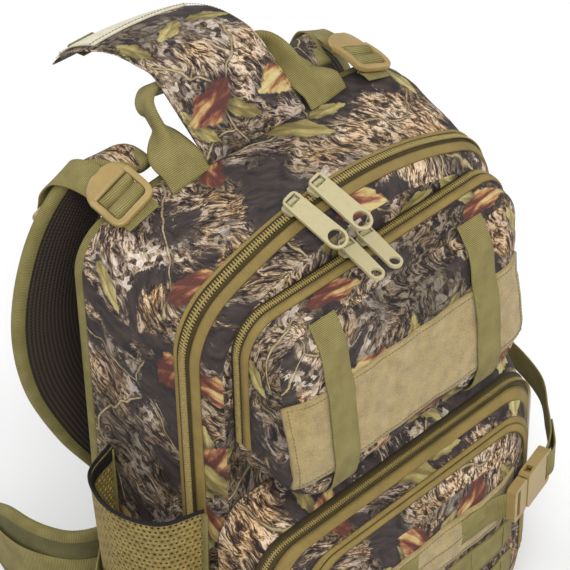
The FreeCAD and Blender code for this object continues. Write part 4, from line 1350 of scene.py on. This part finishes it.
def bottle_pocket(side, s):
    """Net, floor, rim tape, elastic and edge tapes of one bottle pocket."""
    lines = bottle_net(side, s)
    bottom = Shape()
    outline = level(bottle_line(FLOOR_Z, 0.4, 40), s, FLOOR_Z + 0.9)
    under = outline - (0, 0, 1.5)
    bottom.face(outline)
    bottom.face(under[::-1])
    bottom.grid(np.array([outline, under]), wrap=True)
    finish_piece(bottom.mesh("bottle_floor_" + side, BASE_CLOTH), "pack")
    rim = level(bottle_line(RIM_Z, 0.2, 70), s, RIM_Z + 1.2)
    away = unit(np.stack([rim[:, 0] - BACK_HALF * s * 0.9, (rim[:, 1] + 19) * 0.7, rim[:, 2] * 0], 1))
    edge = edge_binding("bottle_rim_tape_" + side, rim, (0, 0, 1), 3.0, 2.4, ELASTIC)
    finish_piece(edge, "pack", [f"bottle_rim_{side}"])
    band = rim - away * 2.4 + (0, 0, -7.0)
    band = swept("bottle_elastic_" + side, band, (0, 0, 1), flat_profile(11.0, 1.0), ELASTIC)
    finish_piece(band, "pack")
    for number, column in ((1, 0), (2, -1)):
        line = resample(mirror(lines[:, column], s), step=5.0)
        tape = edge_binding(f"bottle_edge_{side}_{number}", line, (0, 1, 0), 8.0, 2.4)
        finish_piece(tape, "pack")


# ---- compression straps ----
STRAP_Z = TOP - 284.0


def compression(side, s):
    """Webbing from the back seam to its buckle, the loose tail, and the buckle's anchor on the pocket."""
    upright, socket = (0, 0, 1), f"compression_socket_{side}"
    line = spline([(158, 46), (172, 31), (206, -2), (207, -36), (191, -82), (166, -110.5), (147, -129.5),
                   (131, -139.5), (122, -143)], 3.0)
    strap = webbing("compression_strap_" + side, level(line, s, STRAP_Z), upright, WEB, 1.5, None,
                    f"compression_webbing_{side}")
    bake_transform(strap)
    tail = spline([(121.5, -143.5), (127, -146.5), (137, -142), (148, -132), (159, -121)], 2.0)
    tail = level(tail, s, STRAP_Z)
    tail[:, 2] += 2 - 5 * np.arange(len(tail)) / len(tail)
    webbing("compression_tail_" + side, tail, upright, WEB - 1, 1.4, socket)
    front = spline([(24, -147.4), (44, -147.6), (60, -148.2), (71, -152.6), (76, -153.6)], 2.0)
    webbing("buckle_anchor_" + side, level(front, s, STRAP_Z), upright, WEB, 1.6, "pack", "buckle_anchors")


# ---- hardware that stays as designed ----
def dress(nodes, material, bevel):
    """Gives CAD pieces their finish and a small edge radius. A star in a name stands for left and right."""
    for node in nodes.split():
        for side in ("left", "right") if "*" in node else ("",):
            obj = NODES[node.replace("*", side)]
            obj.data.materials.clear()
            obj.data.materials.append(material)
            edge = obj.modifiers.new("edge", "BEVEL")
            edge.width = bevel * MM
            edge.segments = 2
            edge.limit_method = "ANGLE"
            edge.angle_limit = math.radians(35)


def hardware():
    """Sliders, pulls, buckles and inner pieces: the CAD's own shapes with their materials."""
    dress("main_slider_* upper_slider_* lower_slider", SLIDERS, 0.3)
    dress("main_pull_* upper_pull_* lower_pull", PULLS, 0.45)
    dress("lifter_slide_* strap_adjuster_* compression_socket_* compression_plug_*", BUCKLE, 0.5)
    dress("belt_socket belt_plug", BUCKLE, 0.5)
    dress("frame_sheet", SHEET, 0.3)
    dress("hydration_sleeve", LINING, 0.3)


# ---- camera and light ----
def camera():
    """The photograph's view, in millimetres: turned left, looking down, slightly rolled."""
    azimuth, elevation, roll = (math.radians(a) for a in (-44.435, 38.715, -1.299))
    back = Vector((math.sin(azimuth) * math.cos(elevation), -math.cos(azimuth) * math.cos(elevation),
                   math.sin(elevation)))
    right = Vector((math.cos(azimuth), math.sin(azimuth), 0))
    up = back.cross(right)
    c, s = math.cos(roll), math.sin(roll)
    turn = Matrix((right * c + up * s, up * c - right * s, back))
    away = Vector((-3.807, -90.364, 1695.49))   # right, up and back from the top of the bag's middle
    data = bpy.data.cameras.new("camera")
    data.sensor_width = 36.0
    data.lens = 154.12
    data.clip_start, data.clip_end = 0.05, 50.0
    obj = linked("camera", data)
    obj.matrix_world = (Matrix.Translation((turn.transposed() @ away + Vector((0, 0, TOP))) * MM)
                        @ turn.transposed().to_4x4())
    bpy.context.scene.camera = obj


def area_light(name, place, aim, size, power):
    """Soft square lamp at a place, turned to another, in metres."""
    data = bpy.data.lights.new(name, "AREA")
    data.size = size
    data.energy = power
    obj = linked(name, data)
    obj.location = place
    obj.rotation_mode = "QUATERNION"
    obj.rotation_quaternion = (Vector(aim) - Vector(place)).to_track_quat("-Z", "Y")


def studio():
    """Pale floor, even surroundings and three soft lamps."""
    floor = Shape()
    steps = np.linspace(-6000, 6000, 9)
    floor.grid(np.array([[(x, y, -0.2) for x in steps] for y in steps]))
    g = Graph("studio_floor", roughness=0.9, specular=0.1)
    tone = g.noise(g.place(), 2.0, 2.0)
    sheet = floor.mesh("floor", g.done(g.ramp(tone, (0.3, 246, 246, 246), (0.7, 250, 250, 250))))
    world = bpy.data.worlds.new("studio")
    world.use_nodes = True
    world.node_tree.nodes["Background"].inputs[0].default_value = (1, 1, 1, 1)
    world.node_tree.nodes["Background"].inputs[1].default_value = 0.72
    bpy.context.scene.world = world
    bpy.context.scene.view_settings.view_transform = "Standard"
    area_light("key", (-1.3, -1.6, 2.4), (0, 0, 0.3), 1.6, 75)
    area_light("fill", (1.8, -1.4, 1.6), (0, 0, 0.3), 2.0, 30)
    area_light("rim", (-0.6, 1.8, 2.0), (0, 0, 0.3), 1.5, 30)


# ---- assembly ----
bag_body()
upper_seams, lower_seams = (POCKET_Y, UPPER_ZIP_Y, LEAN_FROM), (POCKET_Y, LOWER_ZIP_Y, PIPING_Y)
upper_skin = pocket_skin("upper_pocket", UPPER, upper_seams, (150, 310), 5.0, 2.1, lean=15.0)
lower_skin = pocket_skin("lower_pocket", LOWER, lower_seams, (260, 20), 4.0, 3.7)
zips()
upper_front(upper_skin)
lower_front(lower_skin)
flap()
handle()
back_pads()
base_panel()
for side_name, sign in SIDES:
    ladder_lock(side_name, sign)
    lock_webbing(side_name, sign)
    shoulder_strap(side_name, sign)
    hip_wing(side_name, sign)
    bottle_pocket(side_name, sign)
    compression(side_name, sign)
hardware()
studio()
camera()
